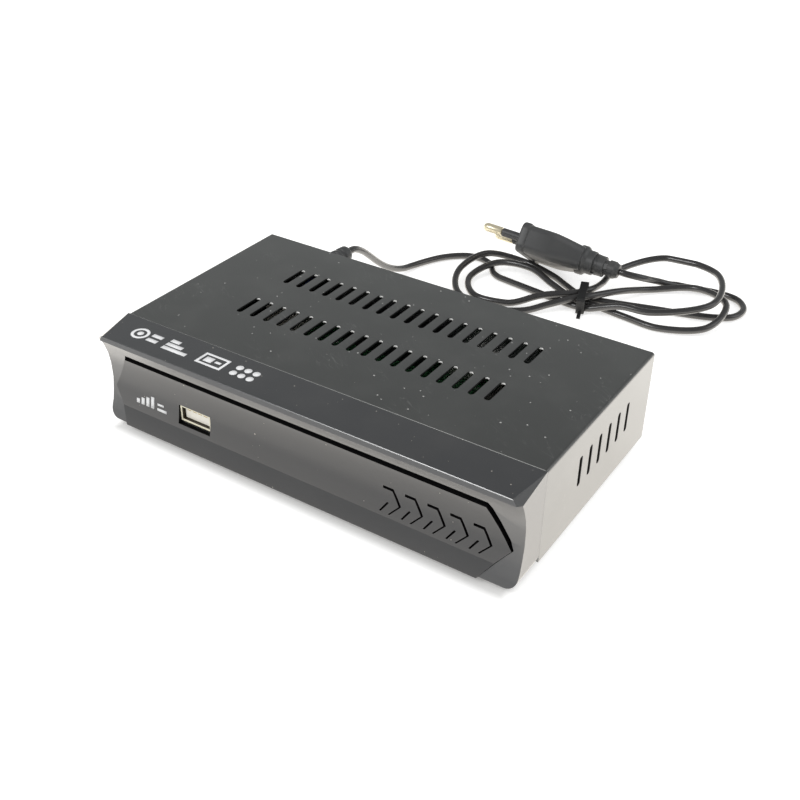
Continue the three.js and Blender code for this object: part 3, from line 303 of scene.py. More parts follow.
def object_place(tree):
    return out_of(tree, "ShaderNodeTexCoord", output="Object")


def facing(tree):
    return out_of(tree, "ShaderNodeNewGeometry", output="Normal")


def noise(tree, place, scale, detail, roughness=0.5):
    return out_of(tree, "ShaderNodeTexNoise", {
        "Vector": place, "Scale": scale, "Detail": detail, "Roughness": roughness})


def paint_tone(red, green, blue):
    def straight(c):
        c /= 255
        return c / 12.92 if c <= 0.04045 else ((c + 0.055) / 1.055) ** 2.4
    return (straight(red), straight(green), straight(blue), 1)


# %% Room round the box
def ray_kinds(tree):
    light_path = add(tree, "ShaderNodeLightPath").outputs
    mirrored = math_of(tree, "MAXIMUM", light_path["Is Glossy Ray"], light_path["Is Transmission Ray"])
    return light_path["Is Camera Ray"], mirrored


WHITE = (1, 1, 1, 1)
room = bpy.data.worlds.new("room")
bpy.context.scene.world = room
room.use_nodes = True
tree = room.node_tree
tree.nodes.clear()
rise = axes_of(tree, out_of(tree, "ShaderNodeTexCoord", output="Generated"))["Z"]
walls = add(tree, "ShaderNodeValToRGB", {"Fac": rise})
wall_stops = walls.color_ramp.elements
for place, tone in ((0.0, 0.6), (0.06, 0.35), (0.3, 0.36), (0.5, 0.28), (0.62, 0.16)):
    stop = wall_stops[0] if place == 0 else wall_stops.new(place)
    stop.color = (tone * 0.97, tone, tone * 0.99, 1)
wall_stops[-1].color = (0.16, 0.16, 0.16, 1)
to_camera, mirrored = ray_kinds(tree)
seen_tone = mixed(tree, to_camera, walls.outputs["Color"], WHITE)
seen = out_of(tree, "ShaderNodeBackground", {"Color": seen_tone, "Strength": 1.0})
lit = out_of(tree, "ShaderNodeBackground", {"Color": WHITE, "Strength": 0.7})
straight_seen = math_of(tree, "MAXIMUM", to_camera, mirrored)
chosen = out_of(tree, "ShaderNodeMixShader", {0: straight_seen, 1: lit, 2: seen})
add(tree, "ShaderNodeOutputWorld", {"Surface": chosen})
print("room: stops from floor to ceiling:", len(wall_stops))

# %% White floor
floor_bm = bmesh.new()
bmesh.ops.create_grid(floor_bm, x_segments=1, y_segments=1, size=2.5)
floor_mesh = bpy.data.meshes.new("floor")
floor_bm.to_mesh(floor_mesh)
floor_bm.free()
floor = scene_object("floor", floor_mesh)
paper = bpy.data.materials.new("white_paper")
paper.use_nodes = True
tree = paper.node_tree
tree.nodes.clear()
to_camera, mirrored = ray_kinds(tree)
floor_axes = axes_of(tree, object_place(tree))
in_front = between(tree, floor_axes["Y"], -0.085, -0.05)


# %% Shade round the foot of the box
FOOTPRINT = {"X": (0.0, 0.079), "Y": (-0.0045, 0.0475)}
SHADE_WIDTH, SHADED_GLOW, OPEN_GLOW = 0.0035, 0.15, 0.6


def outside_squared(axis):
    middle, half = FOOTPRINT[axis]
    off_middle = math_of(tree, "ABSOLUTE", math_of(tree, "SUBTRACT", floor_axes[axis], middle))
    outside = math_of(tree, "MAXIMUM", math_of(tree, "SUBTRACT", off_middle, half), 0.0)
    return math_of(tree, "POWER", outside, 2.0)


from_box = math_of(tree, "SQRT", math_of(tree, "ADD", outside_squared("X"), outside_squared("Y")))
open_floor = between(tree, from_box, 0.0, SHADE_WIDTH, SHADED_GLOW, OPEN_GLOW)
glow_strength = math_of(tree, "MAXIMUM", times(tree, to_camera, open_floor), times(tree, mirrored, in_front))
glow_tone = mixed(tree, mirrored, WHITE, (1, 0.94, 0.85, 1))
matt = out_of(tree, "ShaderNodeBsdfDiffuse", {"Color": (0.85, 0.85, 0.84, 1)})
glow = out_of(tree, "ShaderNodeEmission", {"Color": glow_tone, "Strength": glow_strength})
both = out_of(tree, "ShaderNodeAddShader", {0: matt, 1: glow})
add(tree, "ShaderNodeOutputMaterial", {"Surface": both})
floor.data.materials.append(paper)
print("floor: nodes in its paper:", len(tree.nodes))

# %% [markdown]
# ## Finishes that several pieces share
# Paint, moulded plastic, rubber and plate all carry the same small things: a fine grain, soft patches of
# tone, specks of dust, hairline scratches and paler edges where hands have rubbed. Each of these is built
# once as a node group with named inputs, and every material sets its own amounts. The groups give masks
# and heights only, so the shader itself stays in the material.

# %% Group builder
def shader_group(name, inputs, outputs):
    tree = bpy.data.node_groups.new(name, "ShaderNodeTree")
    for title, value in inputs.items():
        socket = tree.interface.new_socket(title, in_out="INPUT", socket_type="NodeSocketFloat")
        socket.default_value = value
    for title in outputs:
        tree.interface.new_socket(title, in_out="OUTPUT", socket_type="NodeSocketFloat")
    return tree, tree.nodes.new("NodeGroupInput").outputs, tree.nodes.new("NodeGroupOutput").inputs


# %% Fine grain and soft patches
tree, taken, given = shader_group(
    "fine_grain", {"Scale": 2500.0, "Patch scale": 45.0}, ["Height", "Patches"])
fine_grain, place = tree, object_place(tree)
tree.links.new(noise(tree, place, taken["Scale"], 3.0, 0.6), given["Height"])
tree.links.new(noise(tree, place, taken["Patch scale"], 4.0, 0.55), given["Patches"])

# %% Dust that settles on top, and loose specks
tree, taken, given = shader_group(
    "settled_dust", {"Speck scale": 400.0, "Speck size": 0.05, "Film": 0.2}, ["Mask"])
settled_dust, place = tree, object_place(tree)
cells = add(tree, "ShaderNodeTexVoronoi", {"Vector": place, "Scale": taken["Speck scale"]}).outputs
chance = out_of(tree, "ShaderNodeSeparateColor", {"Color": cells["Color"]})
speck_size = times(tree, taken["Speck size"], math_of(tree, "POWER", chance, 3.0))
specks = math_of(tree, "LESS_THAN", cells["Distance"], speck_size)
upwards = math_of(tree, "MAXIMUM", axes_of(tree, facing(tree))["Z"], 0.1)
clouds = between(tree, noise(tree, place, 70.0, 5.0), 0.45, 0.75)
film = times(tree, upwards, times(tree, clouds, taken["Film"]))
tree.links.new(math_of(tree, "MAXIMUM", specks, film), given["Mask"])

# %% Hairline scratches
tree, taken, given = shader_group(
    "hair_scratches", {"Length scale": 18.0, "Turn": 0.6, "Width": 0.008}, ["Mask"])
hair_scratches, place = tree, object_place(tree)
turned_place = out_of(tree, "ShaderNodeVectorRotate", {
    "Vector": place, "Axis": (0.35, 0.3, 1), "Angle": taken["Turn"]})
stretched = out_of(
    tree, "ShaderNodeVectorMath", {0: turned_place, 1: (1.0, 26.0, 26.0)}, operation="MULTIPLY")
lines = noise(tree, stretched, taken["Length scale"], 1.0)
off_line = math_of(tree, "ABSOLUTE", math_of(tree, "SUBTRACT", lines, 0.5))
near = math_of(tree, "LESS_THAN", off_line, taken["Width"])
unbroken = between(tree, noise(tree, place, 55.0, 3.0), 0.54, 0.64)
tree.links.new(times(tree, near, unbroken), given["Mask"])

# %% Rubbed edges
tree, taken, given = shader_group("rubbed_edges", {"Radius": 0.0006, "Gain": 6.0}, ["Mask"])
rubbed_edges, place = tree, object_place(tree)
rounded = out_of(tree, "ShaderNodeBevel", {"Radius": taken["Radius"]}, samples=4)
agree = out_of(tree, "ShaderNodeVectorMath", {0: rounded, 1: facing(tree)}, "Value", operation="DOT_PRODUCT")
turned_away = times(tree, math_of(tree, "SUBTRACT", 1.0, agree), taken["Gain"], clamp=True)
patchy = between(tree, noise(tree, place, 400.0, 4.0), 0.3, 0.7)
tree.links.new(times(tree, turned_away, patchy), given["Mask"])
print("shared groups:", [g.name for g in bpy.data.node_groups])


# %% [markdown]
# ## One recipe for a finish
# Every material takes the same few decisions in the same order: its tone and how patchy it is, how rough
# and how deep its grain is, then rubbed edges, scratches and dust on top. Depths are in millimetres. What
# is the same all over the surface stays on the shader's own sockets.

# %% Finish recipe
def finish_of(name, tone, rough, metal=0.0, ior=1.5, coat=0.0, coat_rough=0.3, coat_ior=1.5, patch=0.12,
              grain=2500.0, depth=0.02, dust=0.0, specks=0.05, scratch=0.0, rub=0.0,
              rub_tone=(150, 150, 148), dust_tone=(176, 170, 160)):
    made = bpy.data.materials.new(name)
    made.use_nodes = True
    tree = made.node_tree
    shader = tree.nodes["Principled BSDF"].inputs
    for title, value in (("Metallic", metal), ("IOR", ior), ("Coat Weight", coat),
                         ("Coat Roughness", coat_rough), ("Coat IOR", coat_ior)):
        shader[title].default_value = value
    surface = add(tree, "ShaderNodeGroup", {"Scale": grain}, node_tree=fine_grain).outputs
    base = Vector(paint_tone(*tone)[:3])
    darker, lighter = (*(base * (1 - patch)), 1), (*(base * (1 + patch)), 1)
    colour = mixed(tree, between(tree, surface["Patches"], 0.3, 0.7), darker, lighter)
    roughness = between(tree, surface["Patches"], 0.3, 0.7, rough * 0.92, min(1.0, rough * 1.08))
    for group, share in ((rubbed_edges, rub), (hair_scratches, scratch)):
        if share:
            mask = out_of(tree, "ShaderNodeGroup", node_tree=group)
            colour = mixed(tree, times(tree, mask, share), colour, paint_tone(*rub_tone))
    if dust:
        mask = out_of(tree, "ShaderNodeGroup", {"Speck size": specks, "Film": dust}, node_tree=settled_dust)
        colour = mixed(tree, mask, colour, paint_tone(*dust_tone))
        roughness = math_of(tree, "ADD", roughness, times(tree, mask, 0.3), clamp=True)
    bump = out_of(tree, "ShaderNodeBump", {
        "Height": surface["Height"], "Strength": 0.6, "Distance": depth * MM})
    for title, value in (("Base Color", colour), ("Roughness", roughness), ("Normal", bump)):
        tree.links.new(value, shader[title])
    return made


# %% Finishes of the outside
cover_paint = finish_of(
    "cover_paint", (34, 36, 35), 0.34, ior=2.4, coat=1.0, coat_ior=1.6, grain=3200, depth=0.010, patch=0.06,
    dust=0.03, specks=0.13, scratch=0.25, rub=0.15, dust_tone=(190, 190, 186))
# Cut edges: darker than the paint, a painted shade that makes the slot walls read black.
cut_edge_shade_and_glints = finish_of("cut_edge_shade_and_glints", (24, 24, 24), 0.5, ior=1.4, grain=1500)
bezel_plastic = finish_of(
    "bezel_plastic", (50, 51, 54), 0.30, ior=1.9, coat=0.9, coat_rough=0.22, coat_ior=1.6, depth=0.006,
    patch=0.05, dust=0.02, specks=0.10, rub=0.12)
fascia_plastic = finish_of(
    "fascia_plastic", (36, 36, 39), 0.32, ior=1.75, coat=0.6, coat_rough=0.26, coat_ior=1.55, depth=0.008,
    patch=0.05, dust=0.02, specks=0.12, rub=0.1)
# Black for the floors of the pocket and the groove, the plate's cut walls and the gap under the USB tongue: a
# painted shade.
painted_shade_black = finish_of("painted_shade_black", (12, 12, 13), 0.65, ior=1.25, depth=0.01)
nickel = finish_of("nickel", (205, 203, 196), 0.22, metal=1.0, patch=0.05, depth=0.006)
# USB shell: pale gold, near white and not metallic, partly its plating and partly a painted highlight; its
# inner walls dark brown, a painted shade.
pale_gold_and_highlight = finish_of("pale_gold_and_highlight", (255, 249, 224), 0.3, ior=1.7, patch=0.03, depth=0.01)
shell_inside_shade = finish_of("shell_inside_shade", (58, 50, 36), 0.5, patch=0.2, depth=0.01)
contact_gold = finish_of("contact_gold", (200, 174, 116), 0.3, metal=0.5, patch=0.2, depth=0.008)
ivory_plastic = finish_of("ivory_plastic", (255, 251, 238), 0.3, ior=1.6, coat=0.5, patch=0.04, depth=0.006)
chassis_steel = finish_of(
    "chassis_steel", (150, 152, 154), 0.38, metal=0.9, patch=0.1, grain=900, depth=0.015, scratch=0.3,
    rub=0.2, rub_tone=(210, 210, 208))
screw_steel = finish_of("screw_steel", (186, 186, 184), 0.3, metal=1.0, depth=0.01, rub=0.3)
foot_rubber = finish_of("foot_rubber", (26, 26, 27), 0.75, depth=0.04, grain=1400, dust=0.12)
cord_black = finish_of(
    "cord_black", (50, 49, 50), 0.36, ior=1.6, coat=0.8, coat_rough=0.2, grain=1600, dust=0.03, specks=0.03)
plug_black = finish_of(
    "plug_black", (72, 73, 74), 0.45, coat=0.3, coat_rough=0.4, grain=1800, dust=0.05, rub=0.2)
tie_black = finish_of("tie_black", (34, 34, 35), 0.5, depth=0.03, grain=1500, rub=0.2)
pin_brass = finish_of("pin_brass", (246, 236, 206), 0.3, metal=0.6, patch=0.04, depth=0.004, scratch=0.2)
printed_white = finish_of("printed_white", (250, 251, 252), 0.5, patch=0.05, depth=0.01, grain=3000)
print("finishes so far:", len(bpy.data.materials))


# %% Painted glints at the far ends of the top slots and a painted highlight along the front seam
def painted_so_far(material):
    tree = material.node_tree
    shader = tree.nodes["Principled BSDF"].inputs
    return tree, shader, shader["Base Color"].links[0].from_socket


SEAM_REACH, TOP_FLOOR, TOP_ROOF = -0.0358, 0.0374, 0.0376
tree, shader, painted_edge = painted_so_far(cut_edge_shade_and_glints)
place = axes_of(tree, object_place(tree))
forwards = times(tree, axes_of(tree, facing(tree))["Y"], -1.0)
# Painted glints: cut faces on the top that face forwards are near white, and the front rim is lighter towards
# the right, a painted highlight.
slot_end_glint = times(tree, between(tree, forwards, 0.45, 0.8), between(tree, place["Z"], TOP_FLOOR, TOP_ROOF))
at_seam = math_of(tree, "LESS_THAN", place["Y"], SEAM_REACH)
seam_highlight = between(tree, place["X"], -0.05, 0.04, 0.1, 0.45)
painted_glint_mask = math_of(tree, "MAXIMUM", slot_end_glint, times(tree, at_seam, seam_highlight))
tree.links.new(mixed(tree, painted_glint_mask, painted_edge, paint_tone(255, 255, 252)), shader["Base Color"])
tree.links.new(between(tree, painted_glint_mask, 0.0, 1.0, 0.5, 0.28), shader["Roughness"])

# %% Finishes of the inside and the rear
chip_black = finish_of("chip_black", (24, 24, 25), 0.55, grain=2000)
heat_sink_metal = finish_of("heat_sink_metal", (168, 170, 174), 0.4, metal=1.0, grain=1200)
capacitor_sleeve = finish_of("capacitor_sleeve", (32, 36, 44), 0.3, coat=0.5, depth=0.01)
coil_brown = finish_of("coil_brown", (96, 66, 34), 0.4, depth=0.05, grain=700)
fuse_glass, lamp_clear = (
    finish_of(name, tone, 0.12, coat=1.0, coat_rough=0.05, depth=0.004)
    for name, tone in (("fuse_glass", (196, 204, 200)), ("lamp_clear", (206, 214, 206))))
wire_brown, wire_blue = (
    finish_of(name, tone, 0.45, depth=0.01)
    for name, tone in (("wire_brown", (92, 52, 26)), ("wire_blue", (34, 74, 148))))
collar_yellow, collar_white, collar_red = (
    finish_of("collar_" + name, tone, 0.35, coat=0.4, depth=0.01, dust=0.05)
    for name, tone in (("yellow", (214, 172, 22)), ("white", (228, 228, 222)), ("red", (172, 26, 32))))

# %% [markdown]
# ### Circuit board
# A board is glass cloth under green lacquer, with copper runs that show as paler lines and tinned pads.
# The runs go only along and across, so they come from a brick pattern with thin joints, and the pads from
# the cells of a coarse Voronoi pattern. Both are flat, which is what the lacquer looks like from above.

# %% Board lacquer
board_green = finish_of("board_green", (22, 78, 44), 0.35, ior=1.55, coat=0.5, depth=0.01, dust=0.08)
tree, shader, lacquer = painted_so_far(board_green)
place = object_place(tree)
runs = out_of(tree, "ShaderNodeTexBrick", {
    "Vector": place, "Scale": 110.0, "Mortar Size": 0.05, "Color1": (0, 0, 0, 1), "Color2": (0, 0, 0, 1),
    "Mortar": WHITE}, "Fac")
pads = out_of(tree, "ShaderNodeTexVoronoi", {"Vector": place, "Scale": 190.0}, "Distance")
pad_spots = math_of(tree, "LESS_THAN", pads, 0.16)
with_runs = mixed(tree, times(tree, runs, 0.6), lacquer, paint_tone(70, 134, 84))
with_pads = mixed(tree, times(tree, pad_spots, 0.8), with_runs, paint_tone(188, 190, 184))
tree.links.new(with_pads, shader["Base Color"])
print("materials:", len(bpy.data.materials))


# %% [markdown]
# ## Helpers for pieces
# Three ways lead to a piece here. A copy of a solid is merged, its flat faces are joined again and its
# edges get a small round. A turned piece is a side line swept round an axis. A sheet is an outline with
# holes, filled flat and then bent or curved. All of them end the same way: the piece rides on the body and
# takes the place of its solid.

# %% Finish a piece
made_pieces = []


def place_piece(piece, replaced=()):
    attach(piece, "root")
    if replaced:
        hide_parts(*replaced)
    made_pieces.append(piece.name)
    return piece


def object_from(bm, name, *materials):
    mesh = bpy.data.meshes.new(name)
    bm.to_mesh(mesh)
    bm.free()
    for material in materials:
        mesh.materials.append(material)
    mesh.shade_smooth()
    return scene_object(name, mesh)


def closed_object(bm, name, material):
    bmesh.ops.recalc_face_normals(bm, faces=bm.faces)
    return object_from(bm, name, material)


def rounded_edges(piece, width, segments=2, angle=32):
    bevel = piece.modifiers.new("rounded_edges", "BEVEL")
    bevel.width = width * MM
    bevel.segments = segments
    bevel.limit_method = "ANGLE"
    bevel.angle_limit = math.radians(angle)
    bevel.use_clamp_overlap = True
    flat_faces = piece.modifiers.new("flat_faces", "WEIGHTED_NORMAL")
    flat_faces.weight = 100
    flat_faces.mode = "FACE_AREA_WITH_ANGLE"
    return piece


# %% Copy of a solid
SAME_PLACE, SAME_PLANE = 0.002 * MM, math.radians(0.6)


def copy_of_solid(node, name, material, width, segments=2, angle=32):
    bm = bmesh.new()
    bm.from_mesh(nodes[node].data)
    bmesh.ops.remove_doubles(bm, verts=bm.verts, dist=SAME_PLACE)
    bmesh.ops.dissolve_limit(bm, angle_limit=SAME_PLANE, verts=bm.verts, edges=bm.edges)
    bm.normal_update()
    return rounded_edges(object_from(bm, name, material), width, segments, angle)


def place_copies(*rows):
    for node, name, material, slot, width in rows:
        place_piece(copy_of_solid(node, name, material, width), [node])


# %% Turned piece
SEAM = Vector((0, -36.3, 3.6))


def case_frame(x, y, z):
    return Matrix.Translation(SEAM + Vector((x, y, z)))


def rear_frame(x, z):
    return case_frame(x, 0, z) @ Matrix.Rotation(-math.pi / 2, 4, "X")


def skin(bm, rings):
    for low, high in zip(rings, rings[1:]):
        for k in range(max(len(low), len(high))):
            around = ((low, k), (low, k + 1), (high, k + 1), (high, k))
            corners = list(dict.fromkeys(ring[i % len(ring)] for ring, i in around))
            if len(corners) > 2:
                bm.faces.new(corners)


def add_turned(bm, profile, frame_matrix, steps):
    rings = []
    for radius, height in profile:
        turns = [2 * math.pi * k / steps for k in range(steps if radius else 1)]
        rings.append([
            bm.verts.new(frame_matrix @ Vector((radius * math.cos(a), radius * math.sin(a), height)) * MM)
            for a in turns])
    skin(bm, rings)


def turned_piece(name, profile, frame_matrix, material, width=0.0, steps=48):
    bm = bmesh.new()
    add_turned(bm, profile, frame_matrix, steps)
    piece = closed_object(bm, name, material)
    if width:
        rounded_edges(piece, width, 3)
    return piece


# %% [markdown]
# ## Pierced sheets
# The slots in the cover and the chevrons in the plate are the same thing: one hole, repeated along a row.
# Cutting fifty holes with Boolean modifiers would be slow and leave thin slivers. A Geometry Nodes tree
# reads the hole's outline from a small object, sets copies out in rows, joins them to the sheet's own
# outline and fills what lies between. The result is a flat sheet with clean holes.

# %% Builders for geometry trees
def geometry_group(name, result, **inputs):
    tree = bpy.data.node_groups.new(name, "GeometryNodeTree")
    for title, kind in inputs.items():
        title = title.replace("_", " ")
        tree.interface.new_socket(title, in_out="INPUT", socket_type="NodeSocket" + kind)
    tree.interface.new_socket(result, in_out="OUTPUT", socket_type="NodeSocketGeometry")
    return tree, tree.nodes.new("NodeGroupInput").outputs, tree.nodes.new("NodeGroupOutput").inputs


def realized(tree, geometry):
    return out_of(tree, "GeometryNodeRealizeInstances", {"Geometry": geometry})


def copies_on(tree, points, instance, **more):
    return realized(tree, out_of(tree, "GeometryNodeInstanceOnPoints", {
        "Points": points, "Instance": instance, **more}))


def end_tree(tree, geometry, material, result):
    painted = out_of(tree, "GeometryNodeSetMaterial", {"Geometry": geometry, "Material": material})
    tree.links.new(painted, result)


# %% Tree for pierced sheets
tree, taken, given = geometry_group(
    "pierced_sheet", "Sheet", Outline="Geometry", Hole="Object", Count="Int", Pitch="Float", Rows="Int",
    Row_pitch="Float", Material="Material")
pierced_sheet = tree
step_x = out_of(tree, "ShaderNodeCombineXYZ", {"X": taken["Pitch"]})
step_y = out_of(tree, "ShaderNodeCombineXYZ", {"Y": taken["Row pitch"]})
row = out_of(tree, "GeometryNodeMeshLine", {"Count": taken["Count"], "Offset": step_x})
rows = out_of(tree, "GeometryNodeMeshLine", {"Count": taken["Rows"], "Offset": step_y})
hole = out_of(tree, "GeometryNodeObjectInfo", {"Object": taken["Hole"]}, "Geometry")
hole_line = out_of(tree, "GeometryNodeMeshToCurve", {"Mesh": hole})
hole_lines = copies_on(tree, copies_on(tree, rows, row), hole_line)
sheet_line = out_of(tree, "GeometryNodeMeshToCurve", {"Mesh": taken["Outline"]})
all_lines = tree.nodes.new("GeometryNodeJoinGeometry")
for line in (sheet_line, hole_lines):
    tree.links.new(line, all_lines.inputs[0])
filled = out_of(tree, "GeometryNodeFillCurve", {"Curve": all_lines.outputs[0]}, mode="TRIANGLES")
end_tree(tree, realized(tree, filled), taken["Material"], given["Sheet"])


# %% Outlines, and a sheet from them
def outline_object(name, loops):
    mesh = bpy.data.meshes.new(name)
    verts, edges = [], []
    for loop in loops:
        first = len(verts)
        verts += [(u * MM, v * MM, 0) for u, v in loop]
        edges += [(first + i, first + (i + 1) % len(loop)) for i in range(len(loop))]
    mesh.from_pydata(verts, edges, [])
    return scene_object(name, mesh)


def evaluated_mesh(piece):
    bpy.context.view_layer.update()
    return bpy.data.meshes.new_from_object(piece.evaluated_get(bpy.context.evaluated_depsgraph_get()))


def run_tree(piece, tree, **values):
    modifier = piece.modifiers.new(tree.name, "NODES")
    modifier.node_group = tree
    for title, value in values.items():
        title = title.replace("_", " ")
        socket = next(item for item in tree.interface.items_tree if item.name == title)
        modifier[socket.identifier] = value


def make_pierced(name, loops, hole_loops, material, count=1, pitch=1, rows=1, row_pitch=1):
    base = outline_object(name + "_outline", loops)
    hole_outline = outline_object(name + "_hole", hole_loops)
    run_tree(base, pierced_sheet, Hole=hole_outline, Count=count, Pitch=pitch * MM, Rows=rows,
             Row_pitch=row_pitch * MM, Material=material)
    mesh = evaluated_mesh(base)
    for spare in (base, hole_outline):
        bpy.data.objects.remove(spare)
    print(name, "faces:", len(mesh.polygons), "points:", len(mesh.vertices))
    return mesh


# %% Simple outlines
def bar(u0, u1, v0, v1):
    return [(u0, v0), (u1, v0), (u1, v1), (u0, v1)]


def round_slot(u, v0, v1, width, steps=7):
    radius = width / 2
    turns = [math.pi * k / steps for k in range(steps + 1)]
    top = [(u + radius * math.cos(a), v1 - radius + radius * math.sin(a)) for a in turns]
    low = [(u - radius * math.cos(a), v0 + radius - radius * math.sin(a)) for a in turns]
    return top + low


# %% [markdown]
# ## Top cover
# The cover is one sheet of painted steel, 0.8 mm thick, punched and then bent down at both sides. Punching
# cuts through the paint, so the edges are a finish of their own: darker than the paint, a painted shade that
# makes the slot walls read black, with a painted glint at the far end of each top slot and a painted
# highlight along the front seam. The cover is made in the real order: three flat panels are pierced, turned
# into place, joined by two narrow bends and thickened inwards. The thickening gives its rim faces the
# material of the cut edge.

# %% Cover sizes
HALF_CASE, DEPTH, HEIGHT, SHEET, BEND = 83.5, 80.8, 35.0, 0.8, 1.2
SLOT_ROWS, SLOT_LENGTH = (22.9, 49.9), 12
top_panel = make_pierced(
    "cover_top", [bar(BEND - HALF_CASE, HALF_CASE - BEND, 0, DEPTH)],
    [round_slot(-52, SLOT_ROWS[0], SLOT_ROWS[0] + SLOT_LENGTH, 2)], cover_paint, 18, 6, 2,
    SLOT_ROWS[1] - SLOT_ROWS[0])
side_panel = make_pierced(
    "cover_side", [bar(0, DEPTH, 0, HEIGHT - BEND)], [round_slot(25, 13.9, 25.2, 1.8)], cover_paint, 6, 7.25)
ear_panel = make_pierced("cover_ear", [bar(-6, 6, 25.9, 34.9)], [round_slot(0, 28.3, 31.7, 3.4)], cover_paint)


# %% Bend the cover together
def add_panel(bm, mesh, matrix, flip=False):
    start = len(bm.faces)
    bm.from_mesh(mesh)
    bm.faces.ensure_lookup_table()
    faces = bm.faces[start:]
    verts = {vert for face in faces for vert in face.verts}
    for vert in verts:
        vert.co = matrix @ vert.co
    if flip:
        bmesh.ops.reverse_faces(bm, faces=faces)


def to_case(columns, x, y, z):
    return Matrix.Translation((SEAM + Vector((x, y, z))) * MM) @ Matrix(columns).transposed().to_4x4()


SIDEWAYS, BEND_STEPS = ((0, 1, 0), (0, 0, 1), (1, 0, 0)), 6
cover_bm = bmesh.new()
add_panel(cover_bm, top_panel, to_case(((1, 0, 0), (0, 1, 0), (0, 0, 1)), 0, 0, HEIGHT))
add_panel(cover_bm, side_panel, to_case(SIDEWAYS, HALF_CASE, 0, 0))
add_panel(cover_bm, side_panel, to_case(SIDEWAYS, -HALF_CASE, 0, 0), flip=True)
for side in (-1, 1):
    ring = []
    for k in range(BEND_STEPS + 1):
        angle = math.pi / 2 * k / BEND_STEPS
        x = side * (HALF_CASE - BEND + BEND * math.cos(angle))
        z = HEIGHT - BEND + BEND * math.sin(angle)
        ring.append([cover_bm.verts.new((SEAM + Vector((x, y, z))) * MM) for y in (0, DEPTH)])
    for (a, b), (c, d) in zip(ring, ring[1:]):
        cover_bm.faces.new((a, b, d, c) if side > 0 else (a, c, d, b))
    add_panel(cover_bm, ear_panel, to_case(((-1, 0, 0), (0, 0, 1), (0, 1, 0)), side * 74.5, DEPTH, 0))
bmesh.ops.remove_doubles(cover_bm, verts=cover_bm.verts, dist=0.01 * MM)
cover_bm.normal_update()
top_faces = [f for f in cover_bm.faces if abs(f.calc_center_median().z / MM - SEAM.z - HEIGHT) < 0.1]
print("cover: faces", len(cover_bm.faces), "top faces look up:", min(f.normal.z for f in top_faces) > 0.9)


# %% Thicken the cover
def thicken(piece, thickness, **settings):
    thick = piece.modifiers.new("thickness", "SOLIDIFY")
    thick.thickness = thickness * MM
    thick.offset = -1
    for key, value in settings.items():
        setattr(thick, key, value)


cover_sheet = object_from(cover_bm, "cover_sheet", cover_paint, cut_edge_shade_and_glints)
# Rim faces and their rounds take the cut edge finish, with its painted shade and painted glints.
thicken(cover_sheet, SHEET, use_even_offset=True, material_offset_rim=1)
rounded_edges(cover_sheet, 0.2, 2, 50)
cover_sheet.modifiers["rounded_edges"].material = 1
place_piece(cover_sheet, ["top_cover"])

# %% [markdown]
# ## Front bezel
# The front is a thick moulding: flat on top, a lip at its front edge, then a shallow hollow that runs the
# whole width, and small facets at its two upper corners. Its solid already has the hollow, the pocket and
# the groove in the right places, so a copy is merged and its edges are rounded. Rebuilding it would risk a
# gap at the plate for no gain. Only a few of its points move: the right ends of the groove and the pocket,
# the lip's left end and its facet, and the hollow near its foot, where the real one turns down more
# steeply. The floors of the pocket and the groove are painted black, a painted shade, so that the pocket
# seen through the plate's cut-outs and the groove read dark.

# %% Depth of the hollow
SOLID_HOLLOW = [(-0.8, 15.0), (1.9, 14.2), (5.4, 13.0), (9.2, 11.8), (14.2, 11.1), (20.0, 11.2), (24.6, 11.9),
                (28.4, 13.2), (32.2, 14.9)]
CREASE = 5.1
ABOVE_CREASE = [(CREASE, 12.6), *SOLID_HOLLOW[3:]]
FACE = [(-6.0, 17.0), *((p.x, p.y) for p in smooth_line([Vector((z, r, 0)) for z, r in ABOVE_CREASE], 0.5))]


def at_height(height, profile):
    for (z0, r0), (z1, r1) in zip(profile, profile[1:]):
        if z0 <= height <= z1:
            return r0 + (r1 - r0) * (height - z0) / (z1 - z0)
    return profile[-1][1]


def face_reach(height):
    return at_height(height, FACE)


# %% Points that move, from the seam, and how far
def inside(place, **limits):
    return all(low < getattr(place, axis) < high for axis, (low, high) in limits.items())


FAR = 99
GROOVE_END = {"x": (73.5, 79.8), "y": (-FAR, -7), "z": (13.9, 26.6)}
GROOVE_EDGE = {14.1: -0.4, 14.2: -0.4, 20.0: -1.4, 23.8: -1.9, 24.6: -2.1, 26.1: -2.5, 26.4: -2.6}
POCKET_CORNER = {"x": (73, 79.2), "y": (-FAR, -10), "z": (-0.9, 9.3)}
POCKET_EDGE = [(-0.9, -2.6), (1.9, -2.0), (5.4, -1.35), (6.5, -1.15), (9.3, -0.55)]
LIP_LEFT_END = {"x": (-FAR, -80), "y": (-FAR, -16.3), "z": (32.5, FAR)}
LIP_TOP = {"y": (-FAR, -16.3), "z": (34.9, FAR)}
LIP_FRONT = {"y": (-FAR, -17), "z": (34.0, 34.9)}
LIP_MOVE, FACET_CUT, ON_HOLLOW = 2.0, 0.5, 0.06


def groove_limit(height):
    return 79.3 if height < 15 else max(73.6, 76.6 - 1.1 * max(0, height - 20))


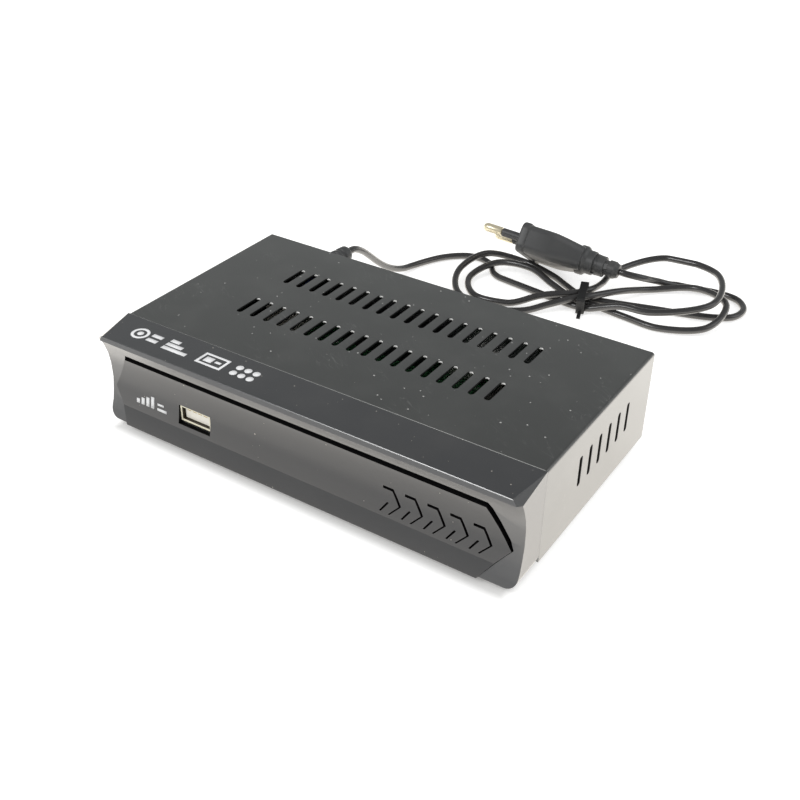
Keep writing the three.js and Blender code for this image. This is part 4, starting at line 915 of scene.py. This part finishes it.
# %% Bezel
bezel = copy_of_solid("front_bezel", "bezel_moulding", bezel_plastic, width=0.35, segments=3, angle=20)
for vert in bezel.data.vertices:
    place = vert.co / MM - SEAM
    if inside(place, **GROOVE_END) and place.x > groove_limit(place.z):
        vert.co.x += GROOVE_EDGE.get(round(place.z, 1), 0) * MM
    if inside(place, **POCKET_CORNER):
        vert.co.x += at_height(place.z, POCKET_EDGE) * MM
    if inside(place, **LIP_LEFT_END):
        vert.co.x += LIP_MOVE * MM
    if inside(place, **LIP_TOP):
        vert.co.y -= FACET_CUT * MM
    if inside(place, **LIP_FRONT):
        vert.co.z += FACET_CUT * MM
    if -0.8 < place.z < 9 and abs(place.y + at_height(place.z, SOLID_HOLLOW)) < ON_HOLLOW:
        vert.co.y = (SEAM.y - face_reach(place.z)) * MM

# %% Painted shade: black floor of the pocket and the groove
SUNK_AREA = {"x": (-82, 80.5), "z": (-1, 27)}
bezel.data.materials.append(painted_shade_black)
painted_shade_faces = 0
for face in bezel.data.polygons:
    place = face.center / MM - SEAM
    sunk = -place.y < at_height(place.z, SOLID_HOLLOW) - 0.9
    if face.normal.y < -0.7 and inside(place, **SUNK_AREA) and sunk:
        face.material_index = 1
        painted_shade_faces += 1
print("bezel: black faces in the pocket and the groove:", painted_shade_faces)
place_piece(bezel, ["front_bezel"])

# %% [markdown]
# ## Fascia plate
# The long plate is let into the hollow and follows it. Five chevrons are cut through it: each starts as a
# short bar, turns at a point on its right and narrows to its foot, and a thin line slants beside its lower
# half. The plate is filled flat in front view with the same tree as the cover, cut at many heights so that
# it can bend, and then each point is moved to the depth of the hollow at its height.

# %% Plate outline and its openings
PLATE = [
    (-75.0, 24.4), (-81.55, 11.6), (-78.2, 5.8), (-74.95, -1.2), (70.4, -1.2), (75.6, 5.9), (79.8, 11.2),
    (78.9, 12.3), (70.6, 24.2),
]
USB_X, USB_Z = -44.6, 10.6
usb_opening = bar(USB_X - 6.9, USB_X + 7.5, USB_Z - 3.8, USB_Z + 3.45)
chevron = [
    (33.85, 15.95), (33.85, 14.9), (37.35, 14.9), (40.1, 10.3), (36.5, 6.3), (37.15, 6.3), (41.0, 10.55),
    (37.75, 15.95)]
inner_line = [(36.0, 10.5), (35.6, 10.25), (33.15, 6.5), (33.85, 6.5), (36.45, 10.25)]
plate_mesh = make_pierced("fascia", [PLATE, usb_opening], [chevron, inner_line], fascia_plastic, 5, 8.15)


# %% Curve the plate into the hollow
def keep_result(piece):
    mesh = evaluated_mesh(piece)
    piece.modifiers.clear()
    piece.data = mesh
    return mesh


PLATE_PROUD, PLATE_THICK, CUT_PITCH, CUT_COUNT = 0.5, 1.6, 0.95, 21
plate_bm = bmesh.new()
plate_bm.from_mesh(plate_mesh)
for z in [CREASE + k * CUT_PITCH for k in range(CUT_COUNT)]:
    bmesh.ops.bisect_plane(
        plate_bm, geom=plate_bm.verts[:] + plate_bm.edges[:] + plate_bm.faces[:], plane_co=(0, z * MM, 0),
        plane_no=(0, 1, 0), dist=1e-7)
for vert in plate_bm.verts:
    x, z = vert.co.x / MM, vert.co.y / MM
    vert.co = (SEAM + Vector((x, -face_reach(z) - PLATE_PROUD, z))) * MM
plate_bm.normal_update()
if sum(face.normal.y * face.calc_area() for face in plate_bm.faces) > 0:
    bmesh.ops.reverse_faces(plate_bm, faces=plate_bm.faces)
fascia = object_from(plate_bm, "fascia", fascia_plastic, painted_shade_black)
# The plate's rim faces, round its edge, the chevrons and the USB opening, take the painted shade black.
thicken(fascia, PLATE_THICK, use_even_offset=True, material_offset_rim=1)
keep_result(fascia).set_sharp_from_angle(angle=math.radians(7))
print("fascia: faces on the finished plate:", len(fascia.data.polygons))
place_piece(fascia, ["fascia_plate"])

# %% [markdown]
# ## Printed marks
# The box carries small white prints on the flat strip over the front and on the plate. They are made as
# thin ink, a few hundredths of a millimetre thick, with plain shapes that mean nothing in particular:
# bars, a ring and a frame. Flat polygons laid on the surface keep their edges sharper than a painted mask.

# %% Ink shapes
INK = 0.03


def disc(u, v, radius, steps=28):
    turns = [2 * math.pi * k / steps for k in range(steps)]
    return [(u + radius * math.cos(a), v + radius * math.sin(a)) for a in turns]


def add_ink(bm, to_surface, *loops):
    for loop in loops:
        bm.faces.new([bm.verts.new(to_surface(u, v) * MM) for u, v in loop])


def add_ring(bm, to_surface, *loops):
    skin(bm, [[bm.verts.new(to_surface(u, v) * MM) for u, v in loop] for loop in loops])


def on_strip(u, v):
    return SEAM + Vector((u, v, HEIGHT + INK))


def on_plate(u, v):
    return SEAM + Vector((u, -face_reach(v) - PLATE_PROUD - INK, v))


# %% Prints on the strip and the plate
ink_bm = bmesh.new()
add_ring(ink_bm, on_strip, disc(-69.6, -8.2, 3.4), disc(-69.6, -8.2, 2.3))
add_ink(ink_bm, on_strip, disc(-69.6, -8.2, 1.2),
        bar(-65.2, -60.6, -10.6, -8.8), bar(-65.2, -60.6, -7.6, -5.8),
        bar(-57.4, -46.8, -11.4, -9.6), bar(-57.4, -50.4, -9.0, -7.2), bar(-57.4, -53.4, -6.6, -4.8))
add_ring(ink_bm, on_strip, bar(-42.2, -31.4, -11.5, -4.8), bar(-41.2, -32.4, -10.5, -5.8))
add_ink(ink_bm, on_strip, bar(-40.2, -36.8, -9.6, -6.7), bar(-35.8, -33.4, -8.7, -7.5),
        *(disc(-26.6 + 3.5 * k, y, 1.35) for k in range(3) for y in (-9.9, -6.3)))
add_ink(ink_bm, on_plate, *(bar(-71.5 + 2.3 * k, -70.0 + 2.3 * k, 8.2, 8.2 + height)
                            for k, height in enumerate((1.7, 2.6, 3.5, 4.4))))
add_ink(ink_bm, on_plate, bar(-61.6, -57.2, 8.2, 9.2), bar(-61.6, -58.6, 10.2, 11.0))
ink_bm.normal_update()
for face in list(ink_bm.faces):
    if face.normal.z - face.normal.y < 0:
        face.normal_flip()
prints = object_from(ink_bm, "printed_marks", printed_white)
thicken(prints, INK)
print("printed marks: faces:", len(prints.data.polygons))
place_piece(prints)

# %% [markdown]
# ## USB socket
# The socket is a folded metal shell with a plastic tongue that carries four flat contacts. The shell and
# the tongue are copies of their solids with rounded edges. The shell is a near-white, unmetallic pale gold,
# partly its plating and partly a painted highlight, and its inner walls are dark brown, a painted shade. The
# contacts repeat across the tongue, and they are too few and too plain for a tree of their own, so they are
# set out in a loop. A dark carrier lies under the tongue and parts it from the bright shell below; its black
# is a painted shade for the gap there.

# %% Shell and tongue
SHELL_MOUTH, MOUTH_MOVE, LIP_FLOOR, LIP_LEFT = -46.7, 0.7, 11.6, -50.9
TONGUE_FRONT, TONGUE_FOOT, TONGUE_TOP, TONGUE_RIGHT, TONGUE_MIDDLE = -46.3, 12.1, 16.1, -38.5, -44
usb_shell = copy_of_solid("usb_shell", "usb_socket_shell", pale_gold_and_highlight, width=0.12)
usb_tongue = copy_of_solid("usb_tongue", "usb_socket_tongue", ivory_plastic, width=0.15)
for vert in usb_shell.data.vertices:
    if vert.co.y < SHELL_MOUTH * MM:
        vert.co.y -= MOUTH_MOVE * MM
        if abs(vert.co.z / MM - LIP_FLOOR) < 0.1:
            vert.co.z += 0.4 * MM
        if abs(vert.co.x / MM - LIP_LEFT) < 0.1:
            vert.co.x += 0.35 * MM
for vert in usb_tongue.data.vertices:
    if vert.co.z < 14.3 * MM and vert.co.y < -40 * MM:
        vert.co.z = TONGUE_FOOT * MM
    if vert.co.y < -44.5 * MM:
        vert.co.y = TONGUE_FRONT * MM
        if vert.co.x > TONGUE_MIDDLE * MM:
            vert.co.x = TONGUE_RIGHT * MM
# Faces that look into the shell take the dark brown, a painted shade.
usb_shell.data.materials.append(shell_inside_shade)
for face in usb_shell.data.polygons:
    towards_middle = Vector((USB_X, 0, USB_Z + SEAM.z)) * MM - face.center
    if abs(face.normal.y) < 0.3 and face.normal.x * towards_middle.x + face.normal.z * towards_middle.z > 0:
        face.material_index = 1
place_piece(usb_shell, ["usb_shell"])
place_piece(usb_tongue, ["usb_tongue"])


# %% Contacts and their carrier
def add_box(bm, low, high, material_index=0):
    low, high = Vector(low), Vector(high)
    corners = bmesh.ops.create_cube(bm, size=1)["verts"]
    for vert in corners:
        vert.co = Vector((low[i] + (high[i] - low[i]) * (vert.co[i] + 0.5) for i in range(3))) * MM
    for face in {face for vert in corners for face in vert.link_faces}:
        face.material_index = material_index


CONTACTS, HALF_CONTACT, CONTACT_BACK = (-3.7, -1.2, 1.2, 3.7), 0.75, -38
contacts_bm = bmesh.new()
for offset in CONTACTS:
    middle = USB_X + offset
    add_box(contacts_bm, (middle - HALF_CONTACT, TONGUE_FRONT - 0.12, TONGUE_TOP - 0.6),
            (middle + HALF_CONTACT, CONTACT_BACK, TONGUE_TOP + 0.6))
# The carrier under the tongue is black, a painted shade for the gap between tongue and shell.
add_box(contacts_bm, (USB_X - 5.4, TONGUE_FRONT + 0.1, TONGUE_FOOT - 0.4),
        (USB_X + 5.8, CONTACT_BACK, TONGUE_FOOT), 1)
contacts = rounded_edges(object_from(contacts_bm, "usb_socket_contacts", contact_gold, painted_shade_black), 0.08)
place_piece(contacts)
print("USB socket: contacts:", len(CONTACTS))

# %% [markdown]
# ## Chassis and rear sockets
# The rear wall and the floor of the box are one bent sheet of plated steel. The aerial sockets and the
# jacks are turned metal, so each is a side line swept round its own axis, with the small steps and rounds
# that catch light. The two aerial sockets differ: one has a bore for a pin, the other a pin of its own.

# %% Chassis and its sockets
place_copies(("bottom_chassis", "chassis_sheet", chassis_steel, "chassis_steel", 0.15),
             ("tuner_can", "tuner_screening_can", nickel, "nickel", 0.3))
BOARD_TOP = 6.3
SOCKET_Z = BOARD_TOP + 6.5
NUT, TIP, BORE = 70.1, 89.8, 81.2
rf_body = [
    (0, NUT), (5.6, NUT), (6, NUT + 0.4), (6, NUT + 3.6), (5.6, NUT + 4), (4.75, NUT + 4), (4.75, 84.6),
    (4.5, 84.9), (4.5, 85.5), (4.75, 85.8), (4.75, TIP - 0.5), (4.4, TIP), (3.9, TIP)]
rf_socket = [*rf_body, (3.9, TIP - 0.6), (1.6, TIP - 0.6), (1.4, TIP - 0.9), (1.4, BORE), (0, BORE)]
rf_plug = [*rf_body, (3.7, TIP - 0.3), (3.7, BORE), (1.15, BORE), (1.15, 87.6), (0.6, 88.6), (0, 88.7)]
for node, profile, x in (("rf_in_connector", rf_socket, 63), ("rf_out_connector", rf_plug, 45)):
    name = node.replace("connector", "socket")
    place_piece(turned_piece(name, profile, rear_frame(x, SOCKET_Z), nickel, 0.1), [node])

# %% Audio and video jacks
JACK_X, JACK_PITCH = -18, 13
barrel = [
    (0, 74.9), (4.15, 74.9), (4.15, 86.9), (3.95, 87.2), (3.95, 87.7), (4.15, 88.0), (4.15, 89.3), (3.7, TIP),
    (2.4, TIP), (2.2, 89.4), (1.7, 89.2), (1.6, 89.0), (1.6, 81.9), (0, 81.9)]
ring = [(4.45, 79.8), (5.7, 79.8), (5.7, 80.9), (5.4, 81.2), (4.8, 81.2), (4.45, 80.9), (4.45, 79.8)]
channels = (("video", "yellow", collar_yellow), ("left", "white", collar_white), ("right", "red", collar_red))
for i, (channel, colour, collar) in enumerate(channels):
    there = rear_frame(JACK_X + (i - 1) * JACK_PITCH, SOCKET_Z)
    piece = turned_piece("jack_barrel_" + channel, barrel, there, nickel, 0.08, 40)
    place_piece(piece, ["rca_barrel_" + channel])
    piece = turned_piece("jack_collar_" + channel, ring, there, collar, 0.1, 40)
    place_piece(piece, ["rca_collar_" + channel])
place_copies(("av_jack_housing", "jack_block", chip_black, "chip_black", 0.3),
             ("hdmi_shell", "hdmi_socket_shell", nickel, "nickel", 0.15),
             ("hdmi_tongue", "hdmi_socket_tongue", chip_black, "chip_black", 0.12))
print("rear: pieces so far:", len(made_pieces))

# %% [markdown]
# ## Rubber feet
# Four moulded rubber feet carry the box. Each is a short puck with a rounded lower edge and a dished
# underside, and all four are the same, so one side line is swept four times into a single mesh.

# %% Feet
FOOT_PLACES = [(x, y) for x in (-69.5, 69.5) for y in (14, 66.8)]
foot_line = [(0, 0.5), (3.0, 0.4), (3.8, 0.05), (4.3, 0), (5.0, 0.15), (5.4, 0.6), (5.5, 1.2), (5.5, 3.5),
             (5.3, 3.7), (0, 3.7)]
feet_bm = bmesh.new()
for x, y in FOOT_PLACES:
    add_turned(feet_bm, foot_line, case_frame(x, y, -SEAM.z), 48)
feet = rounded_edges(closed_object(feet_bm, "rubber_feet", foot_rubber), 0.1, 2, 25)
place_piece(feet, ["foot_front_left", "foot_front_right", "foot_rear_left", "foot_rear_right"])

# %% [markdown]
# ## Screws
# All the screws are pan heads with a cross recess, and they differ only in place and direction. One screw
# is made once, by turning its side line and pressing the cross in with a Boolean, and a Geometry Nodes
# tree sets it on every point of a small cloud, each turned a little differently as a hand leaves them.

# %% One screw
CROSS_LENGTH, CROSS_WIDTH, CROSS_DEPTH, CROSS_PLACE, CROSS_TAPER = 3.2, 0.62, 2.0, 1.9, 0.45


def screw_cross():
    bm = bmesh.new()
    for turn in (0, math.pi / 2):
        for vert in bmesh.ops.create_cube(bm, size=1)["verts"]:
            taper = 1.0 if vert.co.z > 0 else CROSS_TAPER
            vert.co = Matrix.Rotation(turn, 4, "Z") @ Vector((
                vert.co.x * CROSS_LENGTH * taper * MM, vert.co.y * CROSS_WIDTH * MM,
                vert.co.z * CROSS_DEPTH * MM + CROSS_PLACE * MM))
    return object_from(bm, "screw_cross", screw_steel)


screw_line = [(0, -4.5), (0.9, -4.4), (1.3, -3.9), (1.3, 0), (2.75, 0), (2.8, 0.25), (2.7, 0.9), (2.3, 1.4),
              (1.5, 1.72), (0, 1.8)]
screw_master = turned_piece("screw_master", screw_line, Matrix.Identity(4), screw_steel, steps=32)
cross = screw_cross()
cut = screw_master.modifiers.new("cross", "BOOLEAN")
cut.object = cross
cut.operation = "DIFFERENCE"
cut.use_self = True
print("screw: faces", len(keep_result(screw_master).polygons))
bpy.data.objects.remove(cross)

# %% Tree that sets screws on points
tree, taken, given = geometry_group(
    "set_screws", "Screws", Points="Geometry", Screw="Object", Lean="Rotation", Seed="Int",
    Material="Material")
set_screws = tree
shape = out_of(tree, "GeometryNodeObjectInfo", {"Object": taken["Screw"]}, "Geometry")
spin = out_of(tree, "FunctionNodeRandomValue", {
    "Seed": taken["Seed"], 0: (0, 0, 0), 1: (0, 0, 1.5)}, data_type="FLOAT_VECTOR")
spin_turn = out_of(tree, "FunctionNodeEulerToRotation", {"Euler": spin})
whole_turn = out_of(tree, "FunctionNodeRotateRotation", {
    "Rotation": taken["Lean"], "Rotate By": spin_turn}, rotation_space="LOCAL")
screws = copies_on(tree, taken["Points"], shape, Rotation=whole_turn)
end_tree(tree, screws, taken["Material"], given["Screws"])


# %% Set the screws
def screws_at(name, places, lean, seed, replaced):
    cloud = bpy.data.meshes.new(name)
    cloud.from_pydata([(SEAM + Vector(place)) * MM for place in places], [], [])
    piece = scene_object(name, cloud)
    run_tree(piece, set_screws, Screw=screw_master, Lean=lean, Seed=seed, Material=screw_steel)
    keep_result(piece).set_sharp_from_angle(angle=math.radians(35))
    place_piece(piece, replaced)
    print(name + ":", len(places))


SCREW_X = 74.5
screws_at("cover_screws", [(-SCREW_X, 80.9, 30), (SCREW_X, 80.9, 30)], (-math.pi / 2, 0, 0), 3,
          ["cover_screw_left", "cover_screw_right"])
board_holes = [(x, y, BOARD_TOP + 0.1) for x in (-SCREW_X, SCREW_X) for y in (1.5, 71.5)]
screws_at("board_screws", board_holes, (0, 0, 0), 5, ["pcb_screw_%d" % i for i in (1, 2, 3, 4)])
bpy.data.objects.remove(screw_master)

# %% [markdown]
# ## Strain relief
# The lead leaves the rear wall through a soft tapered sleeve with ribs, which spreads the bend. It is
# round all the way, so its side line is swept round its axis. The ribs are steps in that line, each with a
# small round at its edge.

# %% Tapered sleeve
def sleeve_line():
    start, outside, rib_count = 77.2, 79.8, 5
    line = [
        (0, start), (5.6, start), (6, start + 0.4), (6, start + 1.3), (5.8, start + 1.5), (4.5, start + 1.5),
        (4.5, outside), (6, outside), (6, outside + 1.1), (5.6, outside + 1.5), (4.6, outside + 1.5)]
    step = 19.5 / rib_count
    for i in range(rib_count - 1):
        y = outside + 1.5 + (i + 0.5) * step
        radius = 4.5 - 1.2 * (i + 0.5) / rib_count
        after = 4.5 - 1.2 * (i + 1) / rib_count
        line += [
            (radius, y - 0.15), (radius - 0.15, y), (radius - 0.75, y + 0.3),
            (radius - 0.75, y + step / 2 - 0.3), (after - 0.15, y + step / 2), (after, y + step / 2 + 0.15)]
    line += [(3.3, 100.3), (3.0, 100.75), (1.6, 100.8), (1.6, 99.8), (0, 99.8)]
    return line


sleeve = turned_piece("lead_sleeve", sleeve_line(), rear_frame(-60, 24.6), plug_black)
place_piece(sleeve, ["cord_bushing"])
print("strain relief: points on its side line:", len(sleeve_line()))

# %% [markdown]
# ## Plug
# The plug is a flat moulding that narrows from its face to a waist, with two sleeved pins and a relief of
# rings at the back. Its body is lofted: a rounded rectangle is drawn at several places along its axis,
# each with its own width and thickness, and the sections are skinned. The relief's rings are turned, with
# small bridges between them as the real mould leaves them.

# %% Lofted body
def rounded_section(width, thick, corner, steps=6):
    points = []
    for side_y, side_z, start in ((1, 1, 0), (-1, 1, 1), (-1, -1, 2), (1, -1, 3)):
        for k in range(steps + 1):
            angle = (start + k / steps) * math.pi / 2
            points.append((
                side_y * (width / 2 - corner) + corner * math.cos(angle),
                side_z * (thick / 2 - corner) + corner * math.sin(angle),
            ))
    return points


PLUG_SECTIONS = [
    (0.0, 33.5, 11.9, 3.0), (0.15, 34.4, 12.8, 3.3), (0.5, 35.0, 13.4, 3.5), (1.2, 35.3, 13.7, 3.5),
    (3.2, 35.2, 13.7, 3.5), (3.7, 34.6, 13.1, 3.4), (3.9, 33.7, 12.4, 3.2), (8.0, 32.7, 12.6, 3.3),
    (12.0, 31.3, 12.8, 3.4), (14.0, 30.3, 12.9, 3.5), (15.5, 29.0, 12.9, 3.6), (18.0, 26.0, 12.6, 3.7),
    (21.0, 22.2, 12.1, 3.8), (24.0, 18.2, 11.5, 3.9), (26.2, 15.6, 11.0, 3.9), (27.4, 14.1, 10.8, 4.0),
]
plug_bm = bmesh.new()
sections = []
for along, *sizes in PLUG_SECTIONS:
    outline = rounded_section(*sizes)
    sections.append([plug_bm.verts.new(PLUG_FRAME @ Vector((along, y, z)) * MM) for y, z in outline])
skin(plug_bm, sections)
plug_bm.faces.new(sections[0])
plug_bm.faces.new(sections[-1][::-1])

# %% Rings, bridges and pin sleeves
PLUG_AXIS = PLUG_FRAME @ Matrix.Rotation(math.pi / 2, 4, "Y")
PIN_OFFSET = 9.3
RING_START, RING_STEP, RING_COUNT = 29.2, 14.8 / 3, 3
relief = [(0, 24.6), (6.2, 24.8), (6.6, 25.3), (6.6, 27.8), (6.3, 28.4), (5.5, 29.1)]
for i in range(RING_COUNT):
    radius = 5.4 - 2.2 * i / RING_COUNT
    y = RING_START + i * RING_STEP
    gap = y + RING_STEP * 2 / 3
    relief += [(radius, y + 0.2), (radius - 0.05, gap - 0.25), (radius - 0.3, gap)]
    if i + 1 < RING_COUNT:
        after = y + RING_STEP
        relief += [(radius - 1.3, gap + 0.1), (radius - 1.3, after - 0.1), (radius - 0.95, after)]
relief += [(3.2, 43.4), (2.9, 43.95), (1.55, 44.0), (1.55, 43.0), (0, 43.0)]
add_turned(plug_bm, relief, PLUG_AXIS, 40)
pin_sleeve = [(0, 1.5), (1.9, 1.5), (1.9, -9.7), (1.7, -10.0), (1.5, -10.0), (1.5, -9.0), (0, -9.0)]
for side in (-1, 1):
    add_turned(plug_bm, pin_sleeve, PLUG_AXIS @ Matrix.Translation((0, side * PIN_OFFSET, 0)), 32)
for i in range(RING_COUNT - 1):
    for turn in (0, math.pi):
        y = RING_START + (i + 1) * RING_STEP - RING_STEP / 6
        radius = 5.4 - 2.2 * (i + 0.8) / RING_COUNT
        spin = Matrix.Rotation(turn + i * math.pi / 2, 4, "X")
        for vert in bmesh.ops.create_cube(plug_bm, size=1)["verts"]:
            x, across, out = vert.co
            local = Vector((x * RING_STEP / 2.6 + y, across * 2.4, out * 2.0 + radius - 1.15))
            vert.co = PLUG_FRAME @ (spin @ local) * MM
plug = rounded_edges(closed_object(plug_bm, "plug_moulding", plug_black), 0.25, 3, 35)
place_piece(plug, ["plug_body"])

# %% Pins and tie
pin_line = [(0, -19.3), (0.8, -19.25), (1.4, -18.9), (1.85, -18.1), (2.0, -17.2), (2.0, -10.5), (1.9, -10.3),
            (1.2, -10.3), (1.2, 7.9), (0, 8)]
for number, side in ((1, -1), (2, 1)):
    there = PLUG_AXIS @ Matrix.Translation((0, side * PIN_OFFSET, 0))
    pin = turned_piece("plug_pin_%d_turned" % number, pin_line, there, pin_brass, steps=32)
    place_piece(pin, ["plug_pin_%d" % number])
tie = copy_of_solid("cord_tie", "hank_tie", tie_black, width=0.12)
place_piece(tie, ["cord_tie"])

mains_cord.data.materials.append(cord_black)
place_piece(mains_cord, ["cord_lead", "cord_hank", "cord_tail"])

# %% [markdown]
# ## Parts on the board
# Behind the slots stand a mains block, a transformer, capacitors, a heat sink and the chips. They are seen
# only through narrow gaps, so the solids keep their shapes and get the finish of what they are.

# %% Finishes for the inner solids
INNER = {
    board_green: ["main_pcb"], ivory_plastic: ["mains_connector"], heat_sink_metal: ["heat_sink"],
    chip_black: ["bridge_rectifier", "pwm_controller_chip", "ram_chip", "flash_chip", "soc_chip",
                 "ir_receiver"],
    nickel: ["crystal_oscillator", "standoff_1", "standoff_2", "standoff_3", "standoff_4"],
    capacitor_sleeve: ["bulk_capacitor", "output_capacitor_1", "output_capacitor_2"],
    coil_brown: ["emi_choke", "power_transformer"], fuse_glass: ["mains_fuse"],
    lamp_clear: ["status_led"], wire_brown: ["mains_wire_live"], wire_blue: ["mains_wire_neutral"],
}
finished = []
for material, names in INNER.items():
    for node in names:
        nodes[node].data.materials.clear()
        nodes[node].data.materials.append(material)
    finished += names
left = [name for name, solid in nodes.items() if not solid.hide_render and name not in finished]
print("pieces:", len(made_pieces), "inner solids:", len(finished), "solids without a finish:", left)

# %% Plain view transform
bpy.context.scene.view_settings.view_transform = "Standard"
